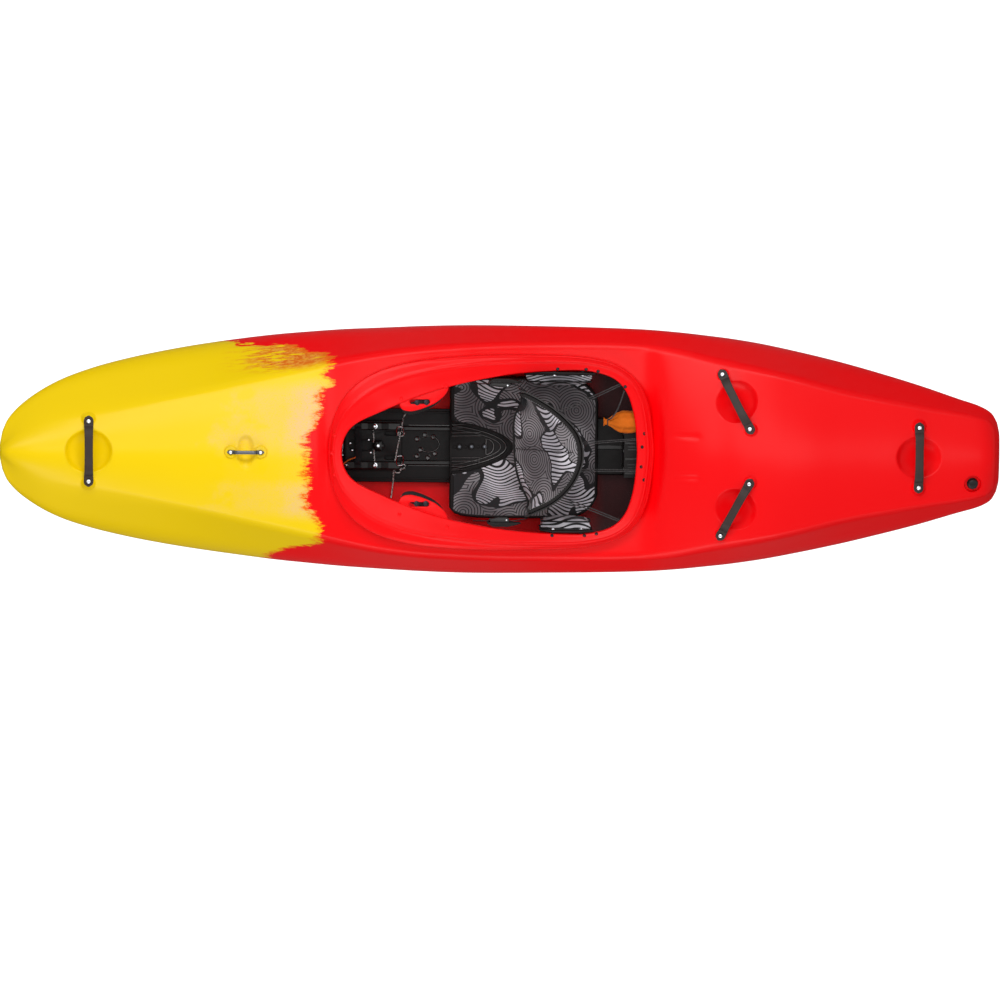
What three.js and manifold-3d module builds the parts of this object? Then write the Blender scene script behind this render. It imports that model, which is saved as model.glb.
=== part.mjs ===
// Whitewater kayak: a moulded hull with its deck fittings and cockpit outfitting.
// Millimetres. +X runs to the stern, +Y to the paddler's right (starboard), +Z up.
// The origin is the centre of the footprint, on the surface that the flat bottom rests on.
import * as THREE from 'three';
import { mergeVertices } from 'three/addons/utils/BufferGeometryUtils.js';
import Module from 'manifold-3d';

const wasm = await Module();
wasm.setup();

// Driving dimensions of the hull
const hullLength = 2740;
const hullBeam = 692;
const hullHeight = 425;
const hullWall = 6;

// Cockpit opening and coaming
const openingLength = 816;
const openingWidth = 454;
const openingFront = -439;
const coamingLength = 902;
const coamingWidth = 540;
const coamingFront = -476;
const lipDepth = 21;
const lipOverhang = 15;
const lipRound = 5;
const coamingDrop = 34;

// Number of steps round each rounded corner of the hull's section, and sides of round pieces
const cornerSteps = 3;
const roundSides = 8;
const drainSides = 14;

// Bolted deck fittings: bosses, bolts, grab handles and the safety bar
const bossRadius = 15;
const bossRise = 8;
const bossDepth = 19;
const boltRadius = 3;
const boltGap = 0.35;

// Counts of sides and steps, and shares that shape the soft pieces
const holeSides = 8;
const seatBossSides = 10;
const bagSides = 14;
const bagRings = 10;
const panStepsAlong = 14;
const panStepsAcross = 12;
const hollowSteps = 8;
const padStepsAlong = 16;
const padStepsAcross = 14;
const noseSteps = 8;
const cushionSteps = 8;
const bandSteps = 24;
const bandPadSteps = 22;
const strapSteps = 10;
const padEdgeShare = 0.6;
const cushionEdgeShare = 0.35;
const bandLevelShares = [0, 0.08, 0.3, 0.7, 0.92, 1];
const bandPadEndShare = 1 / 24;
const bandPadInset = 3;
const strapGripShare = 0.03;
const strapGripClear = 0.7;
const strapEndShare = 0.06;
const strapEndClear = 0.9;
const ratchetCheekReach = 2;
const braceEndShare = 0.06;
const bracePadInset = 2;
const boltLength = 13;
const boltHead = 4;
const handleSpacing = 165;
const handleSizes = { width: 27, pad: 30, thick: 5, rise: 19, shoulder: 17, headRadius: 7 };
const handleRecess = [108, 112, 58];
const barSpacing = 82;
const barSizes = { width: 12, pad: 20, thick: 5, rise: 15, shoulder: 6, headRadius: 6 };
const barRecess = [48, 104, 50];
const bowHandleInset = 242;
const sternHandleInset = 224;
const safetyBarAhead = 223;
const rearHandleBehind = 219;
const rearHandleY = 148;
const rearHandleTurn = 1.1;

// Drain plug in the stern deck
const drainInset = 74;
const drainY = -72;
const drainSeatRadius = 24;
const drainSeatDepth = 9;
const drainFittingRadius = 15;
const drainFittingFlange = 19;
const drainFittingLength = 20;
const drainBore = 10.5;
const drainPlugLength = 17;
const drainPlugHead = 16;
const drainPlugRise = 7;
const drainGripWidth = 4;
const drainSealRadius = 13;
const drainSealThick = 2;
const flangeThick = 3;

// Thigh hooks moulded into the coaming, and the edge that turns down round the opening
const edgeDepth = 20;
const hookFront = -280;
const hookLength = 140;
const hookDrop = 11;
const hookWall = 8;
const hookReach = 62;
const hookSlotX = 62;
const hookSlotY = 133;
const hookSlotLength = 42;
const hookSlotWidth = 13;
const hookShares = [
  [0, 0], [0.02, 0.3], [0.12, 0.7], [0.3, 0.95], [0.48, 1], [0.68, 0.95], [0.86, 0.72], [0.97, 0.35], [1, 0],
];

// Screws through the coaming's turned-down edge
const screwRadius = 2.4;
const screwDrop = 13;
const hipScrewX = [146, 224];
const ratchetScrewX = [-16, 12];

// Floor tray with two rails, under the seat and forward of it
const trayFront = -500;
const trayRear = 270;
const trayWidth = 200;
const trayTop = 30;
const trayPlate = 6;
const traySkirtFront = -205;
const railSpacing = 96;
const railWidth = 12;
const railHeight = 14;

// Foot bulkhead: a sled on the rails, two arms, a foot plate, its foam and a clamping knob
const sledFront = -440;
const sledLength = 160;
const sledWidth = 140;
const sledPlate = 7;
const sledFlange = 12;
const armWidth = 22;
const armHeight = 18;
const armSpacing = 110;
const armRise = 3;
const footPlateX = -668;
const footPlateThick = 8;
const footPlateWidth = 380;
const footPlateBottom = 58;
const footPlateHeight = 238;
const footFoamThick = 26;
const footFoamInset = 14;
const knobX = -345;
const knobRadius = 17;
const knobHeight = 16;
const knobStud = 4;
const footPlateShares = [[0, 0], [0.8, 0.01], [0.97, 0.17], [1, 0.55], [0.74, 0.95], [0, 1]];

// Seat pan, a moulded shell that stands on the hull's floor astride the tray, and its pad
const seatFront = -143;
const seatLength = 414;
const seatWidth = 396;
const seatLow = 57;
const seatFrontRise = 52;
const seatRearRise = 24;
const seatSideRise = 34;
const seatShell = 6;
const seatArchGap = 3;
const pommelWidth = 150;
const pommelLength = 176;
const padThick = 13;
const padInset = 6;
const padCrown = 5;
const seatOutlineShares = [
  [0, 0.84], [0.04, 0.93], [0.14, 0.98], [0.3, 1],
  [0.78, 1], [0.9, 0.93], [0.97, 0.8], [1, 0.66],
];
const seatBoltX = [-116, -82, -45];
const seatBoltRadius = 3;
const seatBoltLength = 4;
const seatBossRise = 2;
const seatPadGap = 2.6;
const seatFloorGap = 0.5;

// Hip plates, fixed through the coaming's edge, and their pads
const hipX = 64;
const hipLength = 190;
const hipTopDrop = 42.375;
const hipHeight = 144;
const hipPlateThick = 4;
const hipPlateY = 217;
const hipBossRadius = 7;
const hipBossGap = 1.5;
const hipPadThick = 30;
const hipPadDrop = 24;
const hipPadInset = 4;
const hipPadShift = { starboard: 0, port: 44 };

// Backband: a curved shell with a pad on its front face
const backLowDrop = 124.375;
const backEndLowDrop = 60.375;
const backTopRise = 39.625;
const backEndTopRise = 17.625;
const backShellThick = 4;
const backPadThick = 17;
const backLean = 180;
const backPoints = [[46, 172], [104, 147], [166, 104], [212, 48], [222, -14], [198, -80], [150, -131], [66, -172]];

// Ratchets on the coaming's inner edge and the ladder straps that they hold
const strapThick = 2.4;
const strapWidth = 20;
const strapY = 190;
const strapDrop = 16.375;
const strapFront = -76;
const ratchetX = -28;
const ratchetLength = 52;
const ratchetPlate = 4;
const ratchetWidth = 30;
const ratchetWall = 3;
const leverLength = 50;
const leverThick = 5;
const leverWidth = 26;
const leverPivotX = 17;
const leverPinRadius = 2.5;

// Thigh brace plates under the hooks
const bracePlateThick = 5;
const bracePadThick = 11;
const braceInset = 15;
const braceReach = 9;
const braceBoltX = [50, 76];
const braceWasherRadius = 9;

// Rear pillar, its cords, the bungee cords and the stow bag
const pillarX = 342;
const pillarLength = 236;
const pillarWidth = 150;
const pillarGap = 2;
const bungeeDiameter = 5;
const cordDiameter = 4;
const bagX = 283;
const bagLength = 112;
const bagY = 82.6;
const bagWidth = 66;
const bagDrop = 115.775;
const bagHeight = 52;
const bagTieDrop = 0.5;
const pillarWall = 5;
const pillarStepDrop = 116.375;
const pillarStepX = 440;
const pillarHollowTop = 120;
const cordSides = 6;
const cordSteps = 10;
const cordGap = 0.15;
const cordGripShare = 0.5;
const cordRimDrop = 12.375;
const cordDrop = 14;
const cordSag = 3;
const pillarCordReach = [31.8, 30.8];
const cords = [
  { name: 'starboard_bungee', share: 0.3, end: [328.2, 188.2], diameter: bungeeDiameter },
  { name: 'port_bungee', share: 0.75, end: [328.1, -188.1], diameter: bungeeDiameter },
  { name: 'starboard_rear_cord', share: 0.47, end: [pillarX + pillarCordReach[0], 37], diameter: cordDiameter },
  { name: 'port_rear_cord', share: 0.6, end: [pillarX + pillarCordReach[1], -50], diameter: cordDiameter },
];
const bagCordEnd = [339, 171.3];
const padGap = 0.6;
const backPadGap = 4.2;
const strapGap = 0.5;
const strapLead = 2;
const strapClear = 4;
const pommelPower = 0.8;
const leanPower = 1.5;
const lobeShare = 0.6;
const frontRiseShare = 0.45;
const valleyShare = 0.5;
const rearRiseShare = 0.75;
const edgeDrawShare = 0.04;

// Shared clearances and tools' sizes
const seatGap = 0.3;
const overrun = 40;

const halfBeam = hullBeam / 2;
const sternX = hullLength / 2;

// Hull shape, as shares chosen by hand: [share of the length from the bow, share of a size]
const beamShares = [
  [0, 0.06], [0.0025, 0.184], [0.0105, 0.287], [0.0186, 0.356], [0.0386, 0.474], [0.0587, 0.559],
  [0.0787, 0.62], [0.0988, 0.67], [0.1389, 0.747], [0.1991, 0.834], [0.2793, 0.917], [0.3596, 0.966],
  [0.4799, 1], [0.5602, 0.994], [0.6404, 0.978], [0.7207, 0.921], [0.7608, 0.874], [0.8009, 0.81],
  [0.841, 0.737], [0.8811, 0.652], [0.9213, 0.559], [0.9614, 0.4545], [0.9814, 0.403],
  [0.9935, 0.346], [0.9975, 0.3], [1, 0.2],
];
const keelShares = [
  [0, 0.9], [0.0025, 0.859], [0.0105, 0.795], [0.0186, 0.741], [0.0386, 0.638], [0.0587, 0.546],
  [0.0787, 0.468], [0.0988, 0.398], [0.1189, 0.333], [0.1389, 0.281], [0.159, 0.235],
  [0.1991, 0.153], [0.2392, 0.094], [0.2793, 0.052], [0.3195, 0.031], [0.3596, 0.014], [0.4, 0.003],
  [0.42, 0], [0.6, 0], [0.62, 0.006], [0.6404, 0.02], [0.6605, 0.04], [0.6805, 0.061],
  [0.7006, 0.087], [0.7207, 0.12], [0.7608, 0.184], [0.8009, 0.255], [0.841, 0.333],
  [0.8811, 0.424], [0.9213, 0.514], [0.9614, 0.612], [0.9975, 0.7], [1, 0.73],
];
const deckShares = [
  [0, 0.95], [0.0025, 0.972], [0.0105, 0.993], [0.0266, 1], [0.0587, 0.974], [0.0787, 0.948],
  [0.0988, 0.934], [0.1189, 0.915], [0.159, 0.889], [0.1991, 0.871], [0.2593, 0.864],
  [0.2994, 0.852], [0.315, 0.842], [0.328, 0.805], [0.345, 0.81], [0.36, 0.809], [0.38, 0.809],
  [0.4, 0.795], [0.42, 0.776], [0.44, 0.744], [0.46, 0.718], [0.48, 0.685], [0.5, 0.655],
  [0.52, 0.626], [0.54, 0.6], [0.56, 0.581], [0.58, 0.572], [0.6, 0.567], [0.64, 0.567],
  [0.652, 0.59], [0.664, 0.675], [0.6805, 0.735], [0.7006, 0.785], [0.7207, 0.82], [0.7407, 0.856],
  [0.7608, 0.875], [0.7808, 0.887], [0.8009, 0.889], [0.841, 0.875], [0.8811, 0.864],
  [0.9413, 0.859], [0.9814, 0.862], [0.9935, 0.845], [0.9975, 0.818], [1, 0.79],
];
const creaseShares = [
  [0, 0.945], [0.0186, 0.931], [0.0988, 0.856], [0.165, 0.802], [0.2312, 0.766], [0.2974, 0.753],
  [0.328, 0.76], [0.36, 0.785], [0.38, 0.79], [0.4, 0.782], [0.42, 0.765], [0.44, 0.736],
  [0.46, 0.712], [0.48, 0.68], [0.5, 0.652], [0.52, 0.624], [0.54, 0.598], [0.56, 0.58],
  [0.58, 0.57], [0.6, 0.565], [0.64, 0.565], [0.6605, 0.612], [0.7127, 0.708], [0.7458, 0.781],
  [0.7793, 0.813], [0.98, 0.813], [1, 0.775],
];
const creaseSideShares = [
  [0, 0.04], [0.0186, 0.17], [0.0436, 0.245], [0.1239, 0.341], [0.1991, 0.454], [0.2442, 0.532],
  [0.3164, 0.65], [0.345, 0.7], [0.389, 0.76], [0.435, 0.795], [0.515, 0.82], [0.595, 0.82],
  [0.66, 0.8], [0.7127, 0.722], [0.789, 0.6], [0.85, 0.477], [0.92, 0.375], [0.9915, 0.27],
  [1, 0.15],
];
const gunwaleShares = [
  [0, 0.925], [0.0015, 0.899], [0.0486, 0.727], [0.0988, 0.588], [0.165, 0.482], [0.2147, 0.416],
  [0.2643, 0.384], [0.3315, 0.374], [0.5, 0.372], [0.6795, 0.395], [0.7327, 0.4], [0.7959, 0.438],
  [0.8621, 0.501], [0.9288, 0.598], [0.995, 0.715], [1, 0.75],
];
const flatSideShares = [
  [0, 0.4], [0.1, 0.6], [0.184, 0.7], [0.3, 0.65], [0.48, 0.595], [0.6, 0.6], [0.75, 0.66],
  [0.85, 0.62], [1, 0.5],
];
const chineSideShares = [
  [0, 0.78], [0.1, 0.84], [0.184, 0.86], [0.3, 0.8], [0.48, 0.73], [0.6, 0.735], [0.75, 0.79],
  [0.85, 0.8], [1, 0.8],
];
const flatRiseShares = [[0, 0.1], [0.1, 0.05], [0.184, 0.012], [0.3, 0], [0.7, 0], [0.85, 0.02], [1, 0.05]];
const chineRiseShares = [
  [0, 0.3], [0.05, 0.27], [0.1, 0.2], [0.184, 0.13], [0.3, 0.11], [0.7, 0.11], [0.85, 0.15], [1, 0.25],
];
const stationShares = [
  0, 0.0025, 0.0075, 0.016, 0.03, 0.05, 0.075, 0.105, 0.14, 0.18, 0.22, 0.26, 0.295, 0.315, 0.328,
  0.345, 0.37, 0.395, 0.42, 0.445, 0.47, 0.5, 0.53, 0.56, 0.6, 0.64, 0.652, 0.664, 0.6805, 0.7006,
  0.7207, 0.7458, 0.7793, 0.82, 0.86, 0.9, 0.94, 0.975, 0.9935, 0.998, 1,
];
const innerStationShares = stationShares.filter((share) => share > 0.01 && share < 0.99);
const crownShares = [0.5, 0.75];
const cornerRoundShares = [
  { before: 0.1, after: 0.45 },
  { before: 0.42, after: 0.42 },
  { before: 0.42, after: 0.42 },
  { before: 0.36, after: 0.36 },
];

// Outline shares: [share of the length from its front, share of the half width]
const openingShares = [
  [0, 0], [0.008, 0.16], [0.035, 0.32], [0.126, 0.485], [0.24, 0.66], [0.36, 0.8], [0.52, 0.92],
  [0.68, 0.985], [0.8, 1], [0.9, 0.94], [0.955, 0.79], [0.99, 0.42], [1, 0],
];
const ridgeShares = [
  [0, 0], [0.01, 0.28], [0.045, 0.55], [0.1, 0.74], [0.19, 0.88], [0.33, 0.965], [0.52, 1],
  [0.72, 0.995], [0.85, 0.94], [0.93, 0.8], [0.98, 0.5], [1, 0],
];
const rimShares = [
  [0.3265, 0.862], [0.3395, 0.882], [0.3596, 0.889], [0.3796, 0.889], [0.3997, 0.875],
  [0.4198, 0.856], [0.4398, 0.826], [0.4599, 0.798], [0.4799, 0.765], [0.5, 0.735], [0.5201, 0.706],
  [0.5401, 0.68], [0.5602, 0.661], [0.5802, 0.652], [0.6003, 0.647], [0.6404, 0.647], [0.68, 0.655],
];

// Value at a share along a table, on a smooth curve that never overshoots its points
function readShares(table, at) {
  const last = table.length - 1;
  if (at <= table[0][0]) return table[0][1];
  if (at >= table[last][0]) return table[last][1];
  let k = 0;
  while (table[k + 1][0] < at) k += 1;
  const slopeOf = (i) => (table[i + 1][1] - table[i][1]) / (table[i + 1][0] - table[i][0]);
  const tangentAt = (i) => {
    if (i === 0) return slopeOf(0);
    if (i === last) return slopeOf(last - 1);
    const before = slopeOf(i - 1);
    const after = slopeOf(i);
    return before * after <= 0 ? 0 : (2 * before * after) / (before + after);
  };
  const span = table[k + 1][0] - table[k][0];
  const u = (at - table[k][0]) / span;
  const rest = 1 - u;
  const ends = table[k][1] * rest * rest * (1 + 2 * u) + table[k + 1][1] * u * u * (1 + 2 * rest);
  return ends + span * u * rest * (tangentAt(k) * rest - tangentAt(k + 1) * u);
}

const shareAtX = (x) => (x + sternX) / hullLength;
const xAtShare = (share) => share * hullLength - sternX;
const rimTopAt = (x) => readShares(rimShares, shareAtX(x)) * hullHeight;

// Places that follow the hull's ends, the coaming's ends and the height of its rim
const bowHandleX = xAtShare(0) + bowHandleInset;
const sternHandleX = xAtShare(1) - sternHandleInset;
const safetyBarX = coamingFront - safetyBarAhead;
const rearHandleX = coamingFront + coamingLength + rearHandleBehind;
const drainX = xAtShare(1) - drainInset;
const rimMiddle = rimTopAt(0);
const hipTop = rimMiddle - hipTopDrop;
const backLow = rimMiddle - backLowDrop;
const backEndLow = rimMiddle - backEndLowDrop;
const backTop = rimMiddle + backTopRise;
const backEndTop = rimMiddle + backEndTopRise;
const strapZ = rimMiddle - strapDrop;
const cordZ = rimMiddle - cordRimDrop;
const bagZ = rimMiddle - bagDrop;
const pillarStep = rimMiddle - pillarStepDrop;
const halfOpeningAt = (x) => (
  readShares(openingShares, (x - openingFront) / openingLength) * openingWidth / 2
);

// Corners of half a cross-section, from the keel round to the middle of the deck: [side, height]
function sectionCorners(share) {
  const side = readShares(beamShares, share) * halfBeam;
  const keel = readShares(keelShares, share) * hullHeight;
  const gunwale = readShares(gunwaleShares, share) * hullHeight;
  const crease = [halfBeam * readShares(creaseSideShares, share), hullHeight * readShares(creaseShares, share)];
  const deck = hullHeight * readShares(deckShares, share);
  return [
    [0, keel],
    [side * readShares(flatSideShares, share), keel + (gunwale - keel) * readShares(flatRiseShares, share)],
    [side * readShares(chineSideShares, share), keel + (gunwale - keel) * readShares(chineRiseShares, share)],
    [side, gunwale],
    crease,
    [crease[0] * crownShares[0], crease[1] + (deck - crease[1]) * crownShares[1]],
    [0, deck],
  ];
}

// Half a cross-section with its corners rounded, each by a curve of as many steps.
// Rounding draws the widest point in, so the sides are then spread to the true half beam.
function roundedSection(corners) {
  const points = [corners[0]];
  for (let i = 1; i < corners.length - 2; i += 1) {
    const here = new THREE.Vector2(...corners[i]);
    const start = here.clone().lerp(new THREE.Vector2(...corners[i - 1]), cornerRoundShares[i - 1].before);
    const end = here.clone().lerp(new THREE.Vector2(...corners[i + 1]), cornerRoundShares[i - 1].after);
    for (let step = 0; step <= cornerSteps; step += 1) {
      const u = step / cornerSteps;
      const first = start.clone().lerp(here, u);
      points.push(first.lerp(here.clone().lerp(end, u), u).toArray());
    }
  }
  points.push(...corners.slice(-2));
  const widest = Math.max(...points.map(([side]) => side));
  const target = Math.max(...corners.map(([side]) => side));
  return points.map(([side, height]) => [(side * target) / widest, height]);
}

// Points moved inwards, square to their outline, by a wall
function movedIn(points, wall) {
  const closed = [[-points[1][0], points[1][1]], ...points, [-points.at(-2)[0], points.at(-2)[1]]];
  return points.map(([side, height], i) => {
    const along = [closed[i + 2][0] - closed[i][0], closed[i + 2][1] - closed[i][1]];
    const length = Math.hypot(...along);
    return [side - (along[1] / length) * wall, height + (along[0] / length) * wall];
  });
}

// Closed solid through rings of equally many points, its two ends capped by fans
function loftGeometry(rings) {
  const count = rings[0].length;
  const vertices = rings.flat(2);
  const indices = [];
  const middleOf = (ring) => [0, 1, 2].map((axis) => (
    ring.reduce((sum, point) => sum + point[axis], 0) / ring.length
  ));
  for (let r = 0; r < rings.length - 1; r += 1) {
    for (let p = 0; p < count; p += 1) {
      const q = (p + 1) % count;
      const [a, b, c, d] = [r * count + p, r * count + q, (r + 1) * count + q, (r + 1) * count + p];
      indices.push(a, b, c, a, c, d);
    }
  }
  const front = vertices.length / 3;
  vertices.push(...middleOf(rings[0]), ...middleOf(rings.at(-1)));
  const lastRing = (rings.length - 1) * count;
  for (let p = 0; p < count; p += 1) {
    const q = (p + 1) % count;
    indices.push(front, q, p, front + 1, lastRing + p, lastRing + q);
  }
  const geometry = new THREE.BufferGeometry();
  geometry.setAttribute('position', new THREE.Float32BufferAttribute(vertices, 3));
  geometry.setIndex(indices);
  return geometry;
}

// Closed ring solid: sections of equally many points that run round and meet again
function ringGeometry(sections) {
  const count = sections[0].length;
  const indices = [];
  for (let s = 0; s < sections.length; s += 1) {
    const next = (s + 1) % sections.length;
    for (let p = 0; p < count; p += 1) {
      const q = (p + 1) % count;
      const [a, b, c, d] = [s * count + p, s * count + q, next * count + q, next * count + p];
      indices.push(a, b, c, a, c, d);
    }
  }
  const geometry = new THREE.BufferGeometry();
  geometry.setAttribute('position', new THREE.Float32BufferAttribute(sections.flat(2), 3));
  geometry.setIndex(indices);
  return geometry;
}

// Solid for joining and cutting, turned right side out if its faces point in
function solidOf(geometry) {
  const bare = geometry.clone();
  bare.deleteAttribute('normal');
  bare.deleteAttribute('uv');
  const merged = mergeVertices(bare, 1e-3);
  const build = (triVerts) => new wasm.Manifold(new wasm.Mesh({
    numProp: 3,
    vertProperties: Float32Array.from(merged.attributes.position.array),
    triVerts,
  }));
  const triVerts = Uint32Array.from(merged.index.array);
  const solid = build(triVerts);
  return solid.volume() > 0 ? solid : build(triVerts.map((v, i) => triVerts[i - (i % 3) + 2 - (i % 3)]));
}

function geometryOf(solid) {
  const mesh = solid.getMesh();
  const geometry = new THREE.BufferGeometry();
  geometry.setAttribute('position', new THREE.BufferAttribute(Float32Array.from(mesh.vertProperties), 3));
  geometry.setIndex(new THREE.BufferAttribute(Uint32Array.from(mesh.triVerts), 1));
  geometry.computeVertexNormals();
  return geometry;
}

// The hull's form, drawn in by a wall. A form inside it leaves out one point of each corner.
function makeHullForm(shares, wall) {
  const isKept = (point, i) => i === 0 || i % (cornerSteps + 1) !== cornerSteps;
  const rings = shares.map((share) => {
    const outer = roundedSection(sectionCorners(share));
    const half = wall > 0 ? movedIn(outer, wall).filter(isKept) : outer;
    const mirrored = half.slice(1, -1).reverse().map(([side, height]) => [-side, height]);
    return [...half, ...mirrored].map(([side, height]) => [xAtShare(share), side, height]);
  });
  return solidOf(loftGeometry(rings));
}

// Points of a mirrored outline, evenly spread round it, starting at its front
function outlinePoints(table, front, length, width, count) {
  const rough = [];
  const fine = 400;
  for (let i = 0; i <= fine; i += 1) {
    const share = (1 - Math.cos((Math.PI * i) / fine)) / 2;
    rough.push(new THREE.Vector2(front + share * length, (readShares(table, share) * width) / 2));
  }
  const runs = [0];
  for (let i = 1; i <= fine; i += 1) runs.push(runs[i - 1] + rough[i].distanceTo(rough[i - 1]));
  const half = [];
  for (let i = 0; i <= count; i += 1) {
    const target = (runs[fine] * i) / count;
    let k = 0;
    while (k < fine - 1 && runs[k + 1] < target) k += 1;
    half.push(rough[k].clone().lerp(rough[k + 1], (target - runs[k]) / (runs[k + 1] - runs[k])));
  }
  const mirrored = half.slice(1, -1).reverse().map((point) => new THREE.Vector2(point.x, -point.y));
  return [...half, ...mirrored];
}

const coamingSteps = 20;
const openingPoints = outlinePoints(openingShares, openingFront, openingLength, openingWidth, coamingSteps);
const ridgePoints = outlinePoints(ridgeShares, coamingFront, coamingLength, coamingWidth, coamingSteps);

// Outline that runs inside the coaming's ridge by a distance
function insideRidge(distance) {
  return ridgePoints.map((outer, i) => (
    outer.clone().addScaledVector(outer.clone().sub(openingPoints[i]).normalize(), -distance)
  ));
}

// Coaming: a skin from the opening's turned-down edge out to the rolled lip, then down to the deck
function makeCoaming() {
  const sections = openingPoints.map((inner, i) => {
    const outer = ridgePoints[i];
    const across = outer.clone().sub(inner).normalize();
    const moved = (point, distance) => point.clone().addScaledVector(across, distance);
    const place = (point, height) => [point.x, point.y, height];
    const innerTop = rimTopAt(inner.x);
    const outerTop = rimTopAt(outer.x);
    const deckSkin = outerTop - coamingDrop - hullWall;
    return [
      place(inner, innerTop - edgeDepth),
      place(inner, innerTop - lipRound),
      place(moved(inner, lipRound), innerTop),
      place(moved(outer, -lipRound), outerTop),
      place(outer, outerTop - lipRound),
      place(outer, outerTop - lipDepth),
      place(moved(outer, -lipOverhang), outerTop - lipDepth),
      place(moved(outer, -lipOverhang), deckSkin),
      place(moved(outer, -lipOverhang - hullWall), deckSkin),
      place(moved(outer, -lipOverhang - hullWall), outerTop - hullWall),
      place(moved(inner, hullWall), innerTop - hullWall),
      place(moved(inner, hullWall), innerTop - edgeDepth),
    ];
  });
  return solidOf(ringGeometry(sections));
}

function prismOf(points, bottom, top) {
  const geometry = new THREE.ExtrudeGeometry(new THREE.Shape(points), {
    depth: top - bottom, bevelEnabled: false,
  });
  geometry.translate(0, 0, bottom);
  return solidOf(geometry);
}

function boxOf(low, high) {
  const size = high.map((value, axis) => value - low[axis]);
  const geometry = new THREE.BoxGeometry(...size);
  geometry.translate(...low.map((value, axis) => value + size[axis] / 2));
  return solidOf(geometry);
}

function cylinderOf(radius, bottom, top, sides = roundSides) {
  const geometry = new THREE.CylinderGeometry(radius, radius, top - bottom, sides);
  geometry.rotateX(Math.PI / 2);
  geometry.translate(0, 0, (bottom + top) / 2);
  return solidOf(geometry);
}

// Round solid about Z from points of radius and height that start and end on the axis
function latheOf(points, sides = roundSides) {
  const profile = points.map(([radius, height]) => new THREE.Vector2(radius, height));
  const geometry = new THREE.LatheGeometry(profile, sides);
  geometry.rotateX(Math.PI / 2);
  return solidOf(geometry);
}

// A solid moved into the hull's frame from a frame given by a matrix
function placed(solid, matrix) {
  const geometry = geometryOf(solid);
  geometry.applyMatrix4(matrix);
  return solidOf(geometry);
}

// Height of the faceted deck over a point
function deckHeightAt(x, y) {
  const heightOn = (share) => {
    const points = roundedSection(sectionCorners(share));
    const upper = points.slice(points.length / 2).filter((point, i, all) => i === 0 || point[0] < all[i - 1][0]);
    const k = upper.findIndex(([side]) => side <= Math.abs(y));
    const [before, after] = [upper[Math.max(k - 1, 0)], upper[k]];
    const u = (before[0] - Math.abs(y)) / (before[0] - after[0] || 1);
    return before[1] + (after[1] - before[1]) * u;
  };
  const share = shareAtX(x);
  const next = stationShares.findIndex((station) => station > share);
  const [low, high] = [stationShares[next - 1], stationShares[next]];
  const u = (share - low) / (high - low);
  return heightOn(low) * (1 - u) + heightOn(high) * u;
}

// Frame of a fitting bolted across the deck at two points: its X runs between them, its Z stands up
function deckFrame([x1, y1], [x2, y2]) {
  const first = new THREE.Vector3(x1, y1, deckHeightAt(x1, y1) + bossRise);
  const second = new THREE.Vector3(x2, y2, deckHeightAt(x2, y2) + bossRise);
  const along = second.clone().sub(first).normalize();
  const middle = first.clone().add(second).multiplyScalar(0.5);
  const slopeX = deckHeightAt(middle.x + bossRadius, middle.y) - deckHeightAt(middle.x - bossRadius, middle.y);
  const slopeY = deckHeightAt(middle.x, middle.y + bossRadius) - deckHeightAt(middle.x, middle.y - bossRadius);
  const up = new THREE.Vector3(-slopeX, -slopeY, 2 * bossRadius);
  const side = up.cross(along).normalize();
  const matrix = new THREE.Matrix4().makeBasis(along, side, along.clone().cross(side));
  return { matrix: matrix.setPosition(middle), spacing: first.distanceTo(second) };
}

// Frame of the drain plug, square to the stern deck
const drainFrame = (() => {
  const up = new THREE.Vector3(
    deckHeightAt(drainX - drainSeatRadius, drainY) - deckHeightAt(drainX + drainSeatRadius, drainY),
    deckHeightAt(drainX, drainY - drainSeatRadius) - deckHeightAt(drainX, drainY + drainSeatRadius),
    2 * drainSeatRadius,
  ).normalize();
  const along = new THREE.Vector3(1, 0, 0).addScaledVector(up, -up.x).normalize();
  const matrix = new THREE.Matrix4().makeBasis(along, up.clone().cross(along), up);
  return matrix.setPosition(drainX, drainY, deckHeightAt(drainX, drainY));
})();

const deckFittings = [
  {
    name: 'bow_grab_handle',
    kind: 'handle',
    ends: [[bowHandleX, -handleSpacing / 2], [bowHandleX, handleSpacing / 2]],
  },
  {
    name: 'stern_grab_handle',
    kind: 'handle',
    ends: [[sternHandleX, -handleSpacing / 2], [sternHandleX, handleSpacing / 2]],
  },
  { name: 'starboard_rear_handle', kind: 'handle', ends: rearHandleEnds(1) },
  { name: 'port_rear_handle', kind: 'handle', ends: rearHandleEnds(-1) },
  { name: 'bow_safety_bar', kind: 'bar', ends: [[safetyBarX - barSpacing / 2, 0], [safetyBarX + barSpacing / 2, 0]] },
].map((fitting) => ({ ...fitting, ...deckFrame(...fitting.ends) }));

function rearHandleEnds(side) {
  const reach = handleSpacing / 2;
  const turn = rearHandleTurn;
  const dx = Math.cos(turn) * reach;
  const dy = Math.sin(turn) * reach;
  return [
    [rearHandleX - dx, side * (rearHandleY + dy)],
    [rearHandleX + dx, side * (rearHandleY - dy)],
  ];
}

// Finger recess under a fitting, as an ellipsoid with its middle near the deck
function recessOf(fitting, extra) {
  const sizes = fitting.kind === 'bar' ? barRecess : handleRecess;
  const geometry = new THREE.SphereGeometry(1, extra > 0 ? 10 : 14, extra > 0 ? 6 : 7);
  geometry.scale(...sizes.map((size) => size / 2 + extra));
  return placed(solidOf(geometry), fitting.matrix);
}

const boltPlaces = ({ spacing }) => [-spacing / 2, spacing / 2];

function at(x, y, z) {
  return new THREE.Matrix4().makeTranslation(x, y, z);
}

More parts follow.
